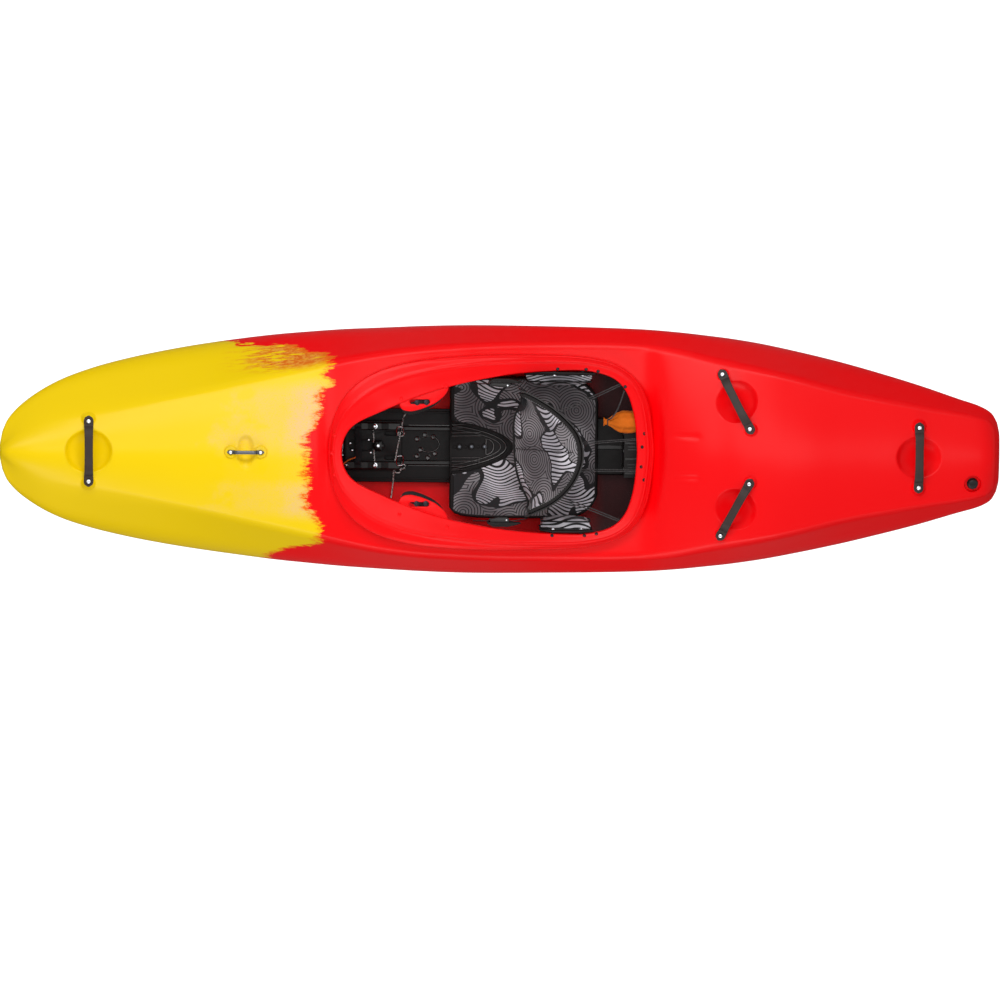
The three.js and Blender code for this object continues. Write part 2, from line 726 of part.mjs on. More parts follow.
// Thigh hooks: a moulded tab a side, with a slot for the thigh brace's bolts, in a sloped frame
const hookSlope = Math.atan((rimTopAt(hookFront) - rimTopAt(hookFront + hookLength)) / hookLength);
const hookFrame = new THREE.Matrix4().makeRotationY(hookSlope)
  .setPosition(hookFront, 0, rimTopAt(hookFront) - hookDrop);

const hookOutline = (side) => hookShares.map(([along, reach]) => new THREE.Vector2(
  along * hookLength,
  side * (halfOpeningAt(hookFront + along * hookLength) + hullWall / 2 - reach * hookReach),
));

function slotPoints(side, grow) {
  const radius = hookSlotWidth / 2 + grow;
  const points = [];
  const steps = 6;
  for (const end of [1, -1]) {
    for (let i = 0; i <= steps; i += 1) {
      const turn = (Math.PI * i) / steps - (end * Math.PI) / 2;
      points.push(new THREE.Vector2(
        hookSlotX + (end * hookSlotLength) / 2 + Math.cos(turn) * radius,
        side * hookSlotY + Math.sin(turn) * radius,
      ));
    }
  }
  return points;
}

function makeHook(side) {
  const tab = prismOf(hookOutline(side), -hookWall, 0);
  const slot = prismOf(slotPoints(side, 0), -hookWall - overrun, overrun);
  return placed(tab.subtract(slot), hookFrame);
}

// Screws through the coaming's turned-down edge, their axes along Y: [x, z below the rim]
const screwFrame = (x, side, drop) => new THREE.Matrix4().makeRotationX((side * Math.PI) / 2)
  .setPosition(x, side * halfOpeningAt(x), rimTopAt(x) - drop);

const rimScrews = [];
for (const side of [1, -1]) {
  for (const x of hipScrewX) rimScrews.push({ x, side });
  for (const x of ratchetScrewX) rimScrews.push({ x, side });
}

function makeHull() {
  let outer = makeHullForm(stationShares, 0);
  let inner = makeHullForm(innerStationShares, hullWall);
  for (const fitting of deckFittings) {
    outer = outer.subtract(recessOf(fitting, 0));
    inner = inner.subtract(recessOf(fitting, hullWall));
  }
  const drainSeat = placed(cylinderOf(drainSeatRadius, -drainSeatDepth, overrun, drainSides), drainFrame);
  const drainBlock = cylinderOf(drainSeatRadius + hullWall, -drainSeatDepth - hullWall, overrun, drainSides);
  const drainBody = placed(drainBlock, drainFrame);
  outer = outer.subtract(drainSeat);
  inner = inner.subtract(drainBody);
  const deckCut = prismOf(insideRidge(lipOverhang + hullWall / 2), rimTopAt(0) / 2, hullHeight + overrun);
  let shell = outer.subtract(inner).subtract(deckCut).add(makeCoaming());
  for (const side of [1, -1]) shell = shell.add(makeHook(side));
  for (const fitting of deckFittings) {
    for (const place of boltPlaces(fitting)) {
      const frame = fitting.matrix.clone().multiply(at(place, 0, 0));
      shell = shell.add(placed(cylinderOf(bossRadius, -bossDepth, 0, holeSides), frame));
      const hole = cylinderOf(boltRadius + 2 * boltGap, -boltLength - 2 * boltGap, overrun, holeSides);
      shell = shell.subtract(placed(hole, frame));
    }
  }
  for (const { x, side } of rimScrews) {
    const hole = cylinderOf(screwRadius + boltGap, -overrun / 2, overrun / 2);
    shell = shell.subtract(placed(hole, screwFrame(x, side, screwDrop)));
  }
  const drainHole = placed(cylinderOf(drainFittingRadius + 2 * seatGap, -overrun, overrun, drainSides), drainFrame);
  return shell.subtract(drainHole);
}

const kayak = new THREE.Group();

// Adds a piece to the kayak, or to a group in it, at a place given by a matrix
function addPiece(name, solid, look, matrix) {
  const mesh = new THREE.Mesh(geometryOf(solid), new THREE.MeshStandardMaterial(look));
  mesh.name = name;
  if (matrix) matrix.decompose(mesh.position, mesh.quaternion, mesh.scale);
  kayak.add(mesh);
}

const redPlastic = { color: 0xe8101a, roughness: 0.4, metalness: 0 };
const blackPlastic = { color: 0x161616, roughness: 0.55, metalness: 0 };
const steel = { color: 0xb9bcc0, roughness: 0.3, metalness: 1 };
const rubber = { color: 0x101010, roughness: 0.9, metalness: 0 };
const foam = { color: 0x1c1c1e, roughness: 0.95, metalness: 0 };
const printedFabric = { color: 0x77777a, roughness: 0.9, metalness: 0 };
const cordBraid = { color: 0x141416, roughness: 0.85, metalness: 0 };
const yellowFabric = { color: 0xf0a818, roughness: 0.8, metalness: 0 };

addPiece('hull_shell', makeHull(), redPlastic);

// Side view of a bolted strap: flat ends with an arch between, from its bolt spacing
function archShape({ spacing, pad, thick, rise, shoulder }) {
  const shape = new THREE.Shape();
  const end = spacing / 2 + pad / 2;
  const foot = spacing / 2 - pad / 2;
  shape.moveTo(-end, seatGap);
  shape.lineTo(-foot, seatGap);
  shape.quadraticCurveTo(-foot + shoulder / 2, rise - thick, -foot + shoulder * 2, rise - thick);
  shape.lineTo(foot - shoulder * 2, rise - thick);
  shape.quadraticCurveTo(foot - shoulder / 2, rise - thick, foot, seatGap);
  shape.lineTo(end, seatGap);
  shape.lineTo(end, seatGap + thick);
  shape.lineTo(foot + thick / 2, seatGap + thick);
  shape.quadraticCurveTo(foot - shoulder / 2, rise, foot - shoulder * 2, rise);
  shape.lineTo(-foot + shoulder * 2, rise);
  shape.quadraticCurveTo(-foot + shoulder / 2, rise, -foot - thick / 2, seatGap + thick);
  shape.lineTo(-end, seatGap + thick);
  shape.closePath();
  return shape;
}

function makeStrap(sizes) {
  const geometry = new THREE.ExtrudeGeometry(archShape(sizes), {
    depth: sizes.width, bevelEnabled: false, curveSegments: 5,
  });
  geometry.translate(0, 0, -sizes.width / 2);
  geometry.rotateX(Math.PI / 2);
  let strap = solidOf(geometry);
  for (const place of boltPlaces(sizes)) {
    strap = strap.subtract(placed(cylinderOf(boltRadius + boltGap, -overrun, overrun), at(place, 0, 0)));
  }
  return strap;
}

// Bolt with a domed head, its head's underside at Z zero
function makeBolt({ radius, length, headRadius, headHeight }) {
  return latheOf([
    [0, -length], [radius, -length], [radius, 0], [headRadius, 0], [headRadius, headHeight * 0.4],
    [headRadius * 0.6, headHeight], [0, headHeight],
  ], 8);
}

for (const fitting of deckFittings) {
  const sizes = fitting.kind === 'bar' ? barSizes : handleSizes;
  const look = fitting.kind === 'bar' ? steel : blackPlastic;
  addPiece(fitting.name, makeStrap({ ...sizes, spacing: fitting.spacing }), look, fitting.matrix);
  boltPlaces(fitting).forEach((place, i) => {
    const lift = sizes.thick + 2 * seatGap;
    const bolt = makeBolt({
      radius: boltRadius, length: boltLength + lift, headRadius: sizes.headRadius, headHeight: boltHead,
    });
    addPiece(`${fitting.name}_bolt_${i + 1}`, bolt, steel, fitting.matrix.clone().multiply(at(place, 0, lift)));
  });
}

// Drain: a bushing in the hull, a seal ring and a plug with a coin grip
addPiece('drain_fitting', latheOf([
  [drainBore, seatGap - drainSeatDepth + flangeThick], [drainBore, -drainSeatDepth - drainFittingLength],
  [drainFittingRadius, -drainSeatDepth - drainFittingLength], [drainFittingRadius, seatGap - drainSeatDepth],
  [drainFittingFlange, seatGap - drainSeatDepth], [drainFittingFlange, seatGap - drainSeatDepth + flangeThick],
  [drainBore, seatGap - drainSeatDepth + flangeThick],
], drainSides), blackPlastic, drainFrame);
const drainSealZ = 2 * seatGap - drainSeatDepth + flangeThick;
addPiece('drain_seal', latheOf([
  [drainBore + seatGap, drainSealZ], [drainSealRadius, drainSealZ], [drainSealRadius, drainSealZ + drainSealThick],
  [drainBore + seatGap, drainSealZ + drainSealThick], [drainBore + seatGap, drainSealZ],
], drainSides), rubber, drainFrame);
const drainHeadZ = drainSealZ + drainSealThick + seatGap;
const drainShank = drainBore - seatGap;
const drainPlug = latheOf([
  [0, drainHeadZ - drainPlugLength], [drainShank, drainHeadZ - drainPlugLength], [drainShank, drainHeadZ],
  [drainPlugHead, drainHeadZ],
  [drainPlugHead, drainHeadZ + flangeThick],
  [drainPlugHead / 2, drainHeadZ + flangeThick],
  [0, drainHeadZ + flangeThick],
], 18).add(boxOf(
  [-drainShank, -drainGripWidth / 2, drainHeadZ],
  [drainShank, drainGripWidth / 2, drainHeadZ + drainPlugRise],
));
addPiece('drain_plug', drainPlug, blackPlastic, drainFrame);

// Closed solid between two surfaces over a plan outline that is mirrored about X
function quiltSolid({ front, length, halfWidthAt, topAt, bottomAt, stepsAlong, stepsAcross }) {
  const rings = [];
  for (let i = 0; i <= stepsAlong; i += 1) {
    const x = front + (length * i) / stepsAlong;
    const half = halfWidthAt(x);
    const ys = [];
    for (let j = 0; j <= stepsAcross; j += 1) ys.push(half * ((2 * j) / stepsAcross - 1));
    const top = ys.map((y) => [x, y, topAt(x, y)]);
    const bottom = ys.slice().reverse().map((y) => [x, y, bottomAt(x, y)]);
    rings.push([...top, ...bottom]);
  }
  return solidOf(quiltGeometry(rings, stepsAcross + 1));
}

// Rings of top and bottom points, with end walls between the two rows
function quiltGeometry(rings, across) {
  const count = rings[0].length;
  const indices = [];
  for (let r = 0; r < rings.length - 1; r += 1) {
    for (let p = 0; p < count; p += 1) {
      const q = (p + 1) % count;
      const [a, b, c, d] = [r * count + p, r * count + q, (r + 1) * count + q, (r + 1) * count + p];
      indices.push(a, b, c, a, c, d);
    }
  }
  const lastRing = (rings.length - 1) * count;
  for (let p = 0; p < across - 1; p += 1) {
    const below = count - 1 - p;
    indices.push(p + 1, p, below, p + 1, below, below - 1);
    indices.push(lastRing + p, lastRing + p + 1, lastRing + below);
    indices.push(lastRing + below, lastRing + p + 1, lastRing + below - 1);
  }
  const geometry = new THREE.BufferGeometry();
  geometry.setAttribute('position', new THREE.Float32BufferAttribute(rings.flat(2), 3));
  geometry.setIndex(indices);
  return geometry;
}

const floorZ = hullWall + seatGap;

// Room inside the hull that a piece standing in it may fill
const insideHull = () => makeHullForm(innerStationShares, hullWall + seatFloorGap);

function makeTray() {
  const half = trayWidth / 2;
  const plateBottom = trayTop - trayPlate;
  let tray = boxOf([trayFront, -half, plateBottom], [trayRear, half, trayTop]);
  for (const side of [1, -1]) {
    const edge = side * half;
    const inside = side * (half - trayPlate);
    const skirt = boxOf(
      [traySkirtFront, Math.min(edge, inside), floorZ],
      [trayRear, Math.max(edge, inside), trayTop],
    );
    const railY = (side * railSpacing) / 2;
    const rail = boxOf(
      [trayFront, railY - railWidth / 2, plateBottom],
      [trayRear, railY + railWidth / 2, trayTop + railHeight],
    );
    tray = tray.add(skirt).add(rail);
  }
  return tray;
}
addPiece('floor_tray', makeTray(), blackPlastic);

const railTop = trayTop + railHeight;
const sledBottom = railTop + seatGap;

function makeSled() {
  const half = sledWidth / 2;
  let sled = boxOf([sledFront, -half, sledBottom], [sledFront + sledLength, half, sledBottom + sledPlate]);
  const flangeInner = railSpacing / 2 + railWidth / 2 + seatGap;
  for (const side of [1, -1]) {
    const ys = [side * flangeInner, side * half];
    sled = sled.add(boxOf(
      [sledFront, Math.min(...ys), sledBottom - sledFlange],
      [sledFront + sledLength, Math.max(...ys), sledBottom + sledPlate],
    ));
    const armY = (side * armSpacing) / 2;
    sled = sled.add(boxOf(
      [footPlateX + footPlateThick + seatGap, armY - armWidth / 2, sledBottom + armRise],
      [sledFront + sledLength, armY + armWidth / 2, sledBottom + armRise + armHeight],
    ));
  }
  const hole = placed(cylinderOf(knobStud + boltGap, -overrun, overrun), at(knobX, 0, sledBottom));
  return sled.subtract(hole).intersect(insideHull());
}
addPiece('bulkhead_sled', makeSled(), blackPlastic);

// A plate across the hull from the foot plate's outline, drawn in by an inset
function footOutline(inset) {
  const half = footPlateShares.map(([side, height]) => new THREE.Vector2(
    side * (footPlateWidth / 2 - inset), footPlateBottom + inset + height * (footPlateHeight - 2 * inset),
  ));
  return [...half, ...half.slice(1, -1).reverse().map((point) => new THREE.Vector2(-point.x, point.y))];
}
const acrossHull = new THREE.Matrix4().makeBasis(
  new THREE.Vector3(0, 1, 0), new THREE.Vector3(0, 0, 1), new THREE.Vector3(1, 0, 0),
);
const footFrame = acrossHull.clone().setPosition(footPlateX, 0, 0);
const footPlate = placed(prismOf(footOutline(0), 0, footPlateThick), footFrame);
addPiece('bulkhead_foot_plate', footPlate.intersect(insideHull()), blackPlastic);
const foamBack = footPlateThick + seatGap;
const armTop = sledBottom + armRise + armHeight;
const footFoam = prismOf(footOutline(footFoamInset), foamBack, foamBack + footFoamThick).subtract(boxOf(
  [-footPlateWidth, 0, 0], [footPlateWidth, armTop + seatArchGap, foamBack + footFoamThick + overrun],
));
addPiece('bulkhead_foam', footFoam, foam, footFrame);
const knobZ = sledBottom + sledPlate + seatGap;
const knob = latheOf([
  [0, trayTop + seatGap - knobZ], [knobStud, trayTop + seatGap - knobZ], [knobStud, 0], [knobRadius, 0],
  [knobRadius, knobHeight], [0, knobHeight],
], 10);
addPiece('bulkhead_knob', knob, blackPlastic, at(knobX, 0, knobZ));

// Height of the seat's surface: two thigh lobes in front, a dished middle, raised sides and rear
function seatTopAt(x, y) {
  const along = (x - seatFront) / seatLength;
  const across = Math.min(Math.abs(y) / (seatWidth / 2), 1);
  const lobe = THREE.MathUtils.smoothstep(across, 0, lobeShare);
  const front = Math.max(1 - along / frontRiseShare, 0) ** 2 * (valleyShare + (1 - valleyShare) * lobe);
  const rear = Math.max((along - rearRiseShare) / (1 - rearRiseShare), 0) ** 2;
  return seatLow + seatFrontRise * front + seatRearRise * rear + seatSideRise * across ** 3;
}
const seatHalfAt = (inset) => (x) => (
  readShares(seatOutlineShares, (x - seatFront) / seatLength) * (seatWidth / 2) - inset
);

// Frame of a seat bolt, square to the seat's sloping surface
function seatBoltFrame(x) {
  const drop = seatTopAt(x - seatBoltRadius, 0) - seatTopAt(x + seatBoltRadius, 0);
  return new THREE.Matrix4().makeRotationY(Math.atan(drop / (2 * seatBoltRadius)))
    .setPosition(x, 0, seatTopAt(x, 0));
}

function makeSeatPan() {
  const block = quiltSolid({
    front: seatFront, length: seatLength, halfWidthAt: seatHalfAt(0), topAt: seatTopAt,
    bottomAt: () => floorZ, stepsAlong: panStepsAlong, stepsAcross: panStepsAcross,
  });
  const hollow = quiltSolid({
    front: seatFront + seatShell, length: seatLength - 2 * seatShell, halfWidthAt: seatHalfAt(seatShell),
    topAt: (x, y) => seatTopAt(x, y) - seatShell, bottomAt: () => floorZ - overrun,
    stepsAlong: hollowSteps, stepsAcross: hollowSteps,
  });
  const archHalf = trayWidth / 2 + seatArchGap;
  const archEnd = [seatFront + seatLength + overrun, archHalf, railTop + seatArchGap];
  const arch = boxOf([seatFront - overrun, -archHalf, -overrun], archEnd);
  let pan = block.subtract(hollow).subtract(arch);
  for (const x of seatBoltX) {
    pan = pan.add(placed(cylinderOf(seatBoltRadius * 3, -seatShell, seatBossRise, seatBossSides), seatBoltFrame(x)));
    const hole = cylinderOf(seatBoltRadius + 2 * boltGap, -overrun / 2, overrun, holeSides);
    pan = pan.subtract(placed(hole, seatBoltFrame(x)));
  }
  return pan.intersect(insideHull());
}
addPiece('seat_pan', makeSeatPan(), blackPlastic);
seatBoltX.forEach((x, i) => {
  const frame = seatBoltFrame(x).multiply(at(0, 0, seatBossRise + seatGap));
  addPiece(`seat_bolt_${i + 1}`, makeBolt({
    radius: seatBoltRadius, length: seatBoltLength, headRadius: seatBoltRadius * 2, headHeight: seatBoltRadius,
  }), steel, frame);
});

// Seat pad: follows the pan, crowned, with the pommel left bare
function makeSeatPad() {
  const along = (x) => (x - seatFront - padInset) / (seatLength - 2 * padInset);
  const half = seatHalfAt(padInset);
  const crown = (x, y) => {
    const u = 2 * along(x) - 1;
    const v = y / half(x);
    const body = padThick * (1 - padEdgeShare * u ** 8) * (1 - padEdgeShare * v ** 6);
    return body + padCrown * (1 - u * u) * (1 - v * v);
  };
  const pad = quiltSolid({
    front: seatFront + padInset, length: seatLength - 2 * padInset, halfWidthAt: half,
    topAt: (x, y) => seatTopAt(x, y) + seatPadGap + crown(x, y),
    bottomAt: (x, y) => seatTopAt(x, y) + seatPadGap, stepsAlong: padStepsAlong, stepsAcross: padStepsAcross,
  });
  const nose = [];
  const steps = noseSteps;
  for (let i = 0; i <= steps; i += 1) {
    const turn = Math.PI * (i / steps - 0.5);
    nose.push(new THREE.Vector2(
      seatFront + pommelLength * Math.cos(turn) ** pommelPower, (pommelWidth / 2) * Math.sin(turn),
    ));
  }
  nose.push(new THREE.Vector2(seatFront - overrun, pommelWidth / 2));
  nose.push(new THREE.Vector2(seatFront - overrun, -pommelWidth / 2));
  return pad.subtract(prismOf(nose, 0, hullHeight));
}
addPiece('seat_pad', makeSeatPad(), printedFabric);

// Hip plates hang on the coaming's turned-down edge and carry the hip pads
function makeHipPlate(side, shift) {
  const low = [hipX + shift, side * (hipPlateY - hipPlateThick), hipTop - hipHeight];
  const high = [hipX + hipLength, side * hipPlateY, hipTop];
  let plate = boxOf(
    [low[0], Math.min(low[1], high[1]), low[2]],
    [high[0], Math.max(low[1], high[1]), high[2]],
  );
  for (const x of hipScrewX) {
    const frame = screwFrame(x, side, screwDrop);
    const gap = halfOpeningAt(x) - hipPlateY;
    plate = plate.add(placed(cylinderOf(hipBossRadius, hipBossGap, gap + hipPlateThick / 2), frame));
    plate = plate.subtract(placed(cylinderOf(screwRadius + boltGap, -overrun, overrun), frame));
  }
  return plate;
}

// Cushion: a box with crowned faces and drawn-in sides, its back face flat at Y zero
function cushionSolid({ length, height, thick, crown }) {
  const steps = cushionSteps;
  const rings = [];
  for (let i = 0; i <= steps; i += 1) {
    const u = (2 * i) / steps - 1;
    const ring = [];
    const backs = [];
    for (let j = 0; j <= steps; j += 1) {
      const v = (2 * j) / steps - 1;
      const draw = 1 - edgeDrawShare * (1 - Math.abs(v) ** 4) * Math.abs(u) ** 6;
      const flat = (1 - cushionEdgeShare * u ** 8) * (1 - cushionEdgeShare * v ** 8);
      const rise = (thick - crown) * flat + crown * (1 - u * u) * (1 - v * v);
      const x = ((u * length) / 2) * draw;
      const z = ((v * height) / 2) * (1 - edgeDrawShare * (1 - Math.abs(u) ** 4) * Math.abs(v) ** 6);
      ring.push([x, rise, z]);
      backs.unshift([x, 0, z]);
    }
    rings.push([...ring, ...backs]);
  }
  return solidOf(quiltGeometry(rings, steps + 1));
}

for (const [name, side] of [['starboard', 1], ['port', -1]]) {
  const shift = hipPadShift[name];
  addPiece(`${name}_hip_plate`, makeHipPlate(side, shift), blackPlastic);
  for (const [i, x] of hipScrewX.entries()) {
    const reach = halfOpeningAt(x) - hipPlateY + hipPlateThick + 2 * seatGap;
    const frame = screwFrame(x, side, screwDrop).multiply(at(0, 0, reach));
    addPiece(`${name}_hip_screw_${i + 1}`, makeBolt({
      radius: screwRadius, length: reach + hullWall, headRadius: screwRadius * 2, headHeight: screwRadius,
    }), steel, frame);
  }
  const padLength = hipLength - shift - 2 * hipPadInset;
  const padHeight = hipHeight - hipPadDrop - hipPadInset;
  const frame = new THREE.Matrix4().makeRotationZ(side > 0 ? Math.PI : 0).setPosition(
    hipX + shift + hipPadInset + padLength / 2,
    side * (hipPlateY - hipPlateThick - padGap),
    hipTop - hipHeight + hipPadInset + padHeight / 2,
  );
  addPiece(`${name}_hip_pad`, cushionSolid({
    length: padLength, height: padHeight, thick: hipPadThick, crown: padCrown,
  }), printedFabric, frame);
}

// Backband: bands that follow one curve in plan, each between two distances behind it
const backKnots = backPoints.map(([x, y]) => new THREE.Vector3(x, y, 0));
const backCurve = new THREE.CatmullRomCurve3(backKnots, false, 'centripetal');

// Distance by which the band leans forward below its top edge, most at its middle
function leanAt(u, z) {
  return (backLean * (1 - (2 * u - 1) ** 2) ** leanPower * (backTop - z)) / (backTop - backLow);
}

function bandSolid({ from, to, start, end, inset, bulge, steps }) {
  const rings = [];
  for (let i = 0; i <= steps; i += 1) {
    const u = start + ((end - start) * i) / steps;
    const point = backCurve.getPointAt(u);
    const tangent = backCurve.getTangentAt(u);
    const behind = new THREE.Vector3(-tangent.y, tangent.x, 0);
    const ends = Math.abs(2 * u - 1) ** 3;
    const low = backLow + (backEndLow - backLow) * ends + inset;
    const top = backTop + (backEndTop - backTop) * ends - inset;
    const place = (reach, level) => {
      const z = low + (top - low) * level;
      return [point.x + behind.x * reach - leanAt(u, z), point.y + behind.y * reach, z];
    };
    const full = (level) => 1 - (2 * level - 1) ** 6;
    const front = bandLevelShares.map((level) => {
      const reach = from - bulge * full(level) * (1 - (2 * (u - start) / (end - start) - 1) ** 8);
      return place(reach, level);
    });
    const back = bandLevelShares.slice().reverse().map((level) => place(to, level));
    rings.push([...front, ...back]);
  }
  return solidOf(quiltGeometry(rings, bandLevelShares.length));
}
addPiece('backband_shell', bandSolid({
  from: backPadGap / 2, to: backPadGap / 2 + backShellThick, start: 0, end: 1, inset: 0, bulge: 0, steps: bandSteps,
}), blackPlastic);
addPiece('backband_pad', bandSolid({
  from: -backPadGap / 2 - backPadThick / 2, to: -backPadGap / 2, start: bandPadEndShare,
  end: 1 - bandPadEndShare, inset: bandPadInset, bulge: backPadThick / 2, steps: bandPadSteps,
}), printedFabric);

// Ratchets: a channel on the coaming's edge, a lever on a pin, and the strap that runs between
function pathRibbon(points, start, thick, width, steps) {
  const curve = new THREE.CatmullRomCurve3(points.map((point) => new THREE.Vector3(...point)), false, 'centripetal');
  const rings = [];
  for (let i = 0; i <= steps; i += 1) {
    const point = curve.getPointAt(i / steps);
    const tangent = curve.getTangentAt(i / steps);
    const across = new THREE.Vector3(-tangent.y, tangent.x, 0).normalize().multiplyScalar(thick / 2);
    const corner = (side, up) => [point.x + side * across.x, point.y + side * across.y, point.z + up * (width / 2)];
    rings.push([corner(1, 1), corner(-1, 1), corner(-1, -1), corner(1, -1)]);
  }
  rings.unshift(rings[0].map(([, y, z]) => [start[0], y, z]));
  return solidOf(quiltGeometry(rings, 2));
}

for (const [name, side] of [['starboard', 1], ['port', -1]]) {
  const outside = backPadGap / 2 + backShellThick + strapGap + strapThick / 2;
  const anchorAt = (u, clear) => {
    const share = side > 0 ? u : 1 - u;
    const point = backCurve.getPointAt(share);
    const tangent = backCurve.getTangentAt(share);
    const reach = outside + clear;
    return [point.x - tangent.y * reach - leanAt(u, strapZ), point.y + tangent.x * reach, strapZ];
  };
  const exit = ratchetX + ratchetLength + strapLead;
  addPiece(`${name}_ladder_strap`, pathRibbon([
    [exit, side * strapY, strapZ], [exit + strapLead, side * strapY, strapZ],
    anchorAt(0, strapClear), anchorAt(strapGripShare, strapGripClear), anchorAt(strapEndShare, strapEndClear),
  ], [strapFront, side * strapY, strapZ], strapThick, strapWidth, strapSteps), blackPlastic);
  const backFace = halfOpeningAt(ratchetX) - hipBossGap;
  const channelFace = strapY - strapThick / 2 - strapGap;
  const ys = (a, b) => [Math.min(side * a, side * b), Math.max(side * a, side * b)];
  const bodyOf = (x1, x2, y1, y2, z1, z2) => boxOf([x1, ys(y1, y2)[0], z1], [x2, ys(y1, y2)[1], z2]);
  const half = ratchetWidth / 2;
  const rear = ratchetX + ratchetLength;
  const front = strapY + strapThick / 2 + strapGap;
  let base = bodyOf(ratchetX, rear, front, backFace, strapZ - half, strapZ + half);
  for (const up of [1, -1]) {
    const z = [strapZ + up * half, strapZ + up * (half - ratchetWall)];
    const cheekFace = channelFace - leverThick - ratchetCheekReach;
    base = base.add(bodyOf(ratchetX, rear, cheekFace, backFace, Math.min(...z), Math.max(...z)));
  }
  const pivot = at(leverPivotX, side * (channelFace - leverThick / 2), strapZ);
  for (const x of ratchetScrewX) {
    const hole = cylinderOf(screwRadius + boltGap, -overrun, overrun);
    base = base.subtract(placed(hole, screwFrame(x, side, screwDrop)));
  }
  base = base.subtract(placed(cylinderOf(leverPinRadius + seatGap, -overrun, overrun), pivot));
  addPiece(`${name}_ratchet_base`, base, blackPlastic);
  const lever = bodyOf(
    leverPivotX - leverLength, leverPivotX, channelFace, channelFace - leverThick,
    strapZ - leverWidth / 2 + ratchetWall, strapZ + leverWidth / 2 - ratchetWall,
  ).add(placed(cylinderOf(leverPinRadius, -half, half), pivot));
  addPiece(`${name}_ratchet_lever`, lever, blackPlastic);
}

// Thigh braces: a plate and a pad under each hook, bolted through its slot
const braceOutline = (side, inset) => hookShares.map(([along, reach]) => {
  const x = hookLength * (braceEndShare + along * (1 - 2 * braceEndShare));
  const edge = halfOpeningAt(hookFront + x) - braceInset - inset;
  const tip = halfOpeningAt(hookFront + hookLength * along) + hullWall / 2 - hookReach * reach - braceReach + inset;
  return new THREE.Vector2(x, side * (reach === 0 ? edge : Math.min(edge, tip)));
});
for (const [name, side] of [['starboard', 1], ['port', -1]]) {
  let plate = prismOf(braceOutline(side, 0), -hookWall - seatGap - bracePlateThick, -hookWall - seatGap);
  for (const x of braceBoltX) {
    plate = plate.subtract(placed(cylinderOf(boltRadius + boltGap, -overrun, overrun), at(x, side * hookSlotY, 0)));
  }
  addPiece(`${name}_thigh_brace`, plate, blackPlastic, hookFrame);
  const padTop = -hookWall - bracePlateThick - 2 * seatGap;
  const pad = prismOf(braceOutline(side, bracePadInset), padTop - bracePadThick, padTop);
  addPiece(`${name}_thigh_pad`, pad, foam, hookFrame);
  braceBoltX.forEach((x, i) => {
    addPiece(`${name}_brace_bolt_${i + 1}`, makeBolt({
      radius: boltRadius,
      length: hookWall + bracePlateThick + seatGap,
      headRadius: braceWasherRadius,
      headHeight: boltHead,
    }), steel, hookFrame.clone().multiply(at(x, side * hookSlotY, seatGap)));
  });
}

// Rear pillar: a moulded channel that stands on the floor and props the stern deck
function makePillar() {
  const half = pillarWidth / 2;
  const rear = pillarX + pillarLength;
  const cavity = makeHullForm(innerStationShares, hullWall + seatGap);
  const block = boxOf([pillarX, -half, 0], [rear, half, hullHeight]);
  const coreEnd = [rear - pillarWall, half - pillarWall, hullHeight];
  const core = boxOf([pillarX + pillarWall, pillarWall - half, 0], coreEnd);
  const hollow = makeHullForm(innerStationShares, hullWall + pillarWall)
    .add(boxOf([pillarX, -half, 0], [rear, half, pillarHollowTop]));
  const step = boxOf([pillarX - overrun, -hullBeam, pillarStep], [pillarStepX, hullBeam, hullHeight]);
  const steppedHollow = core.intersect(hollow).subtract(
    boxOf([pillarX - overrun, -hullBeam, pillarStep - pillarWall], [pillarStepX + pillarWall, hullBeam, hullHeight]),
  );
  return block.intersect(cavity).subtract(step).subtract(steppedHollow);
}
addPiece('rear_pillar', makePillar(), blackPlastic);

// Elastic cords from the backband's shell to the coaming's rear edge
function tubeSolid(points, diameter) {
  const curve = new THREE.CatmullRomCurve3(points.map((point) => new THREE.Vector3(...point)), false, 'centripetal');
  const section = new THREE.Shape();
  for (let i = 0; i < cordSides; i += 1) {
    const turn = (2 * Math.PI * i) / cordSides;
    const [x, y] = [(Math.cos(turn) * diameter) / 2, (Math.sin(turn) * diameter) / 2];
    if (i === 0) section.moveTo(x, y);
    else section.lineTo(x, y);
  }
  return solidOf(new THREE.ExtrudeGeometry(section, { extrudePath: curve, steps: cordSteps, bevelEnabled: false }));
}

function bandBack(share, distance) {
  const point = backCurve.getPointAt(share);
  const tangent = backCurve.getTangentAt(share);
  const behind = backPadGap / 2 + backShellThick + distance;
  return [point.x - tangent.y * behind - leanAt(share, cordZ), point.y + tangent.x * behind];
}

for (const { name, share, end, diameter } of cords) {
  const clear = cordGap + ((leanAt(share, cordZ - diameter) - leanAt(share, cordZ)) * cordGripShare);
  const [x, y] = bandBack(share, clear);
  const [leadX, leadY] = bandBack(share, clear + 2 * diameter);
  const reach = Math.hypot(end[0] - x, end[1] - y);
  const dx = ((end[0] - x) / reach) * diameter;
  const dy = ((end[1] - y) / reach) * diameter;
  const endZ = rimTopAt(end[0]) - cordDrop;
  addPiece(name, tubeSolid([
    [x, y, cordZ], [leadX, leadY, cordZ],
    [(x + end[0]) / 2, (y + end[1]) / 2, (cordZ + endZ) / 2 - cordSag],
    [end[0] - dx, end[1] - dy, endZ], [...end, endZ],
  ], diameter), cordBraid);
}

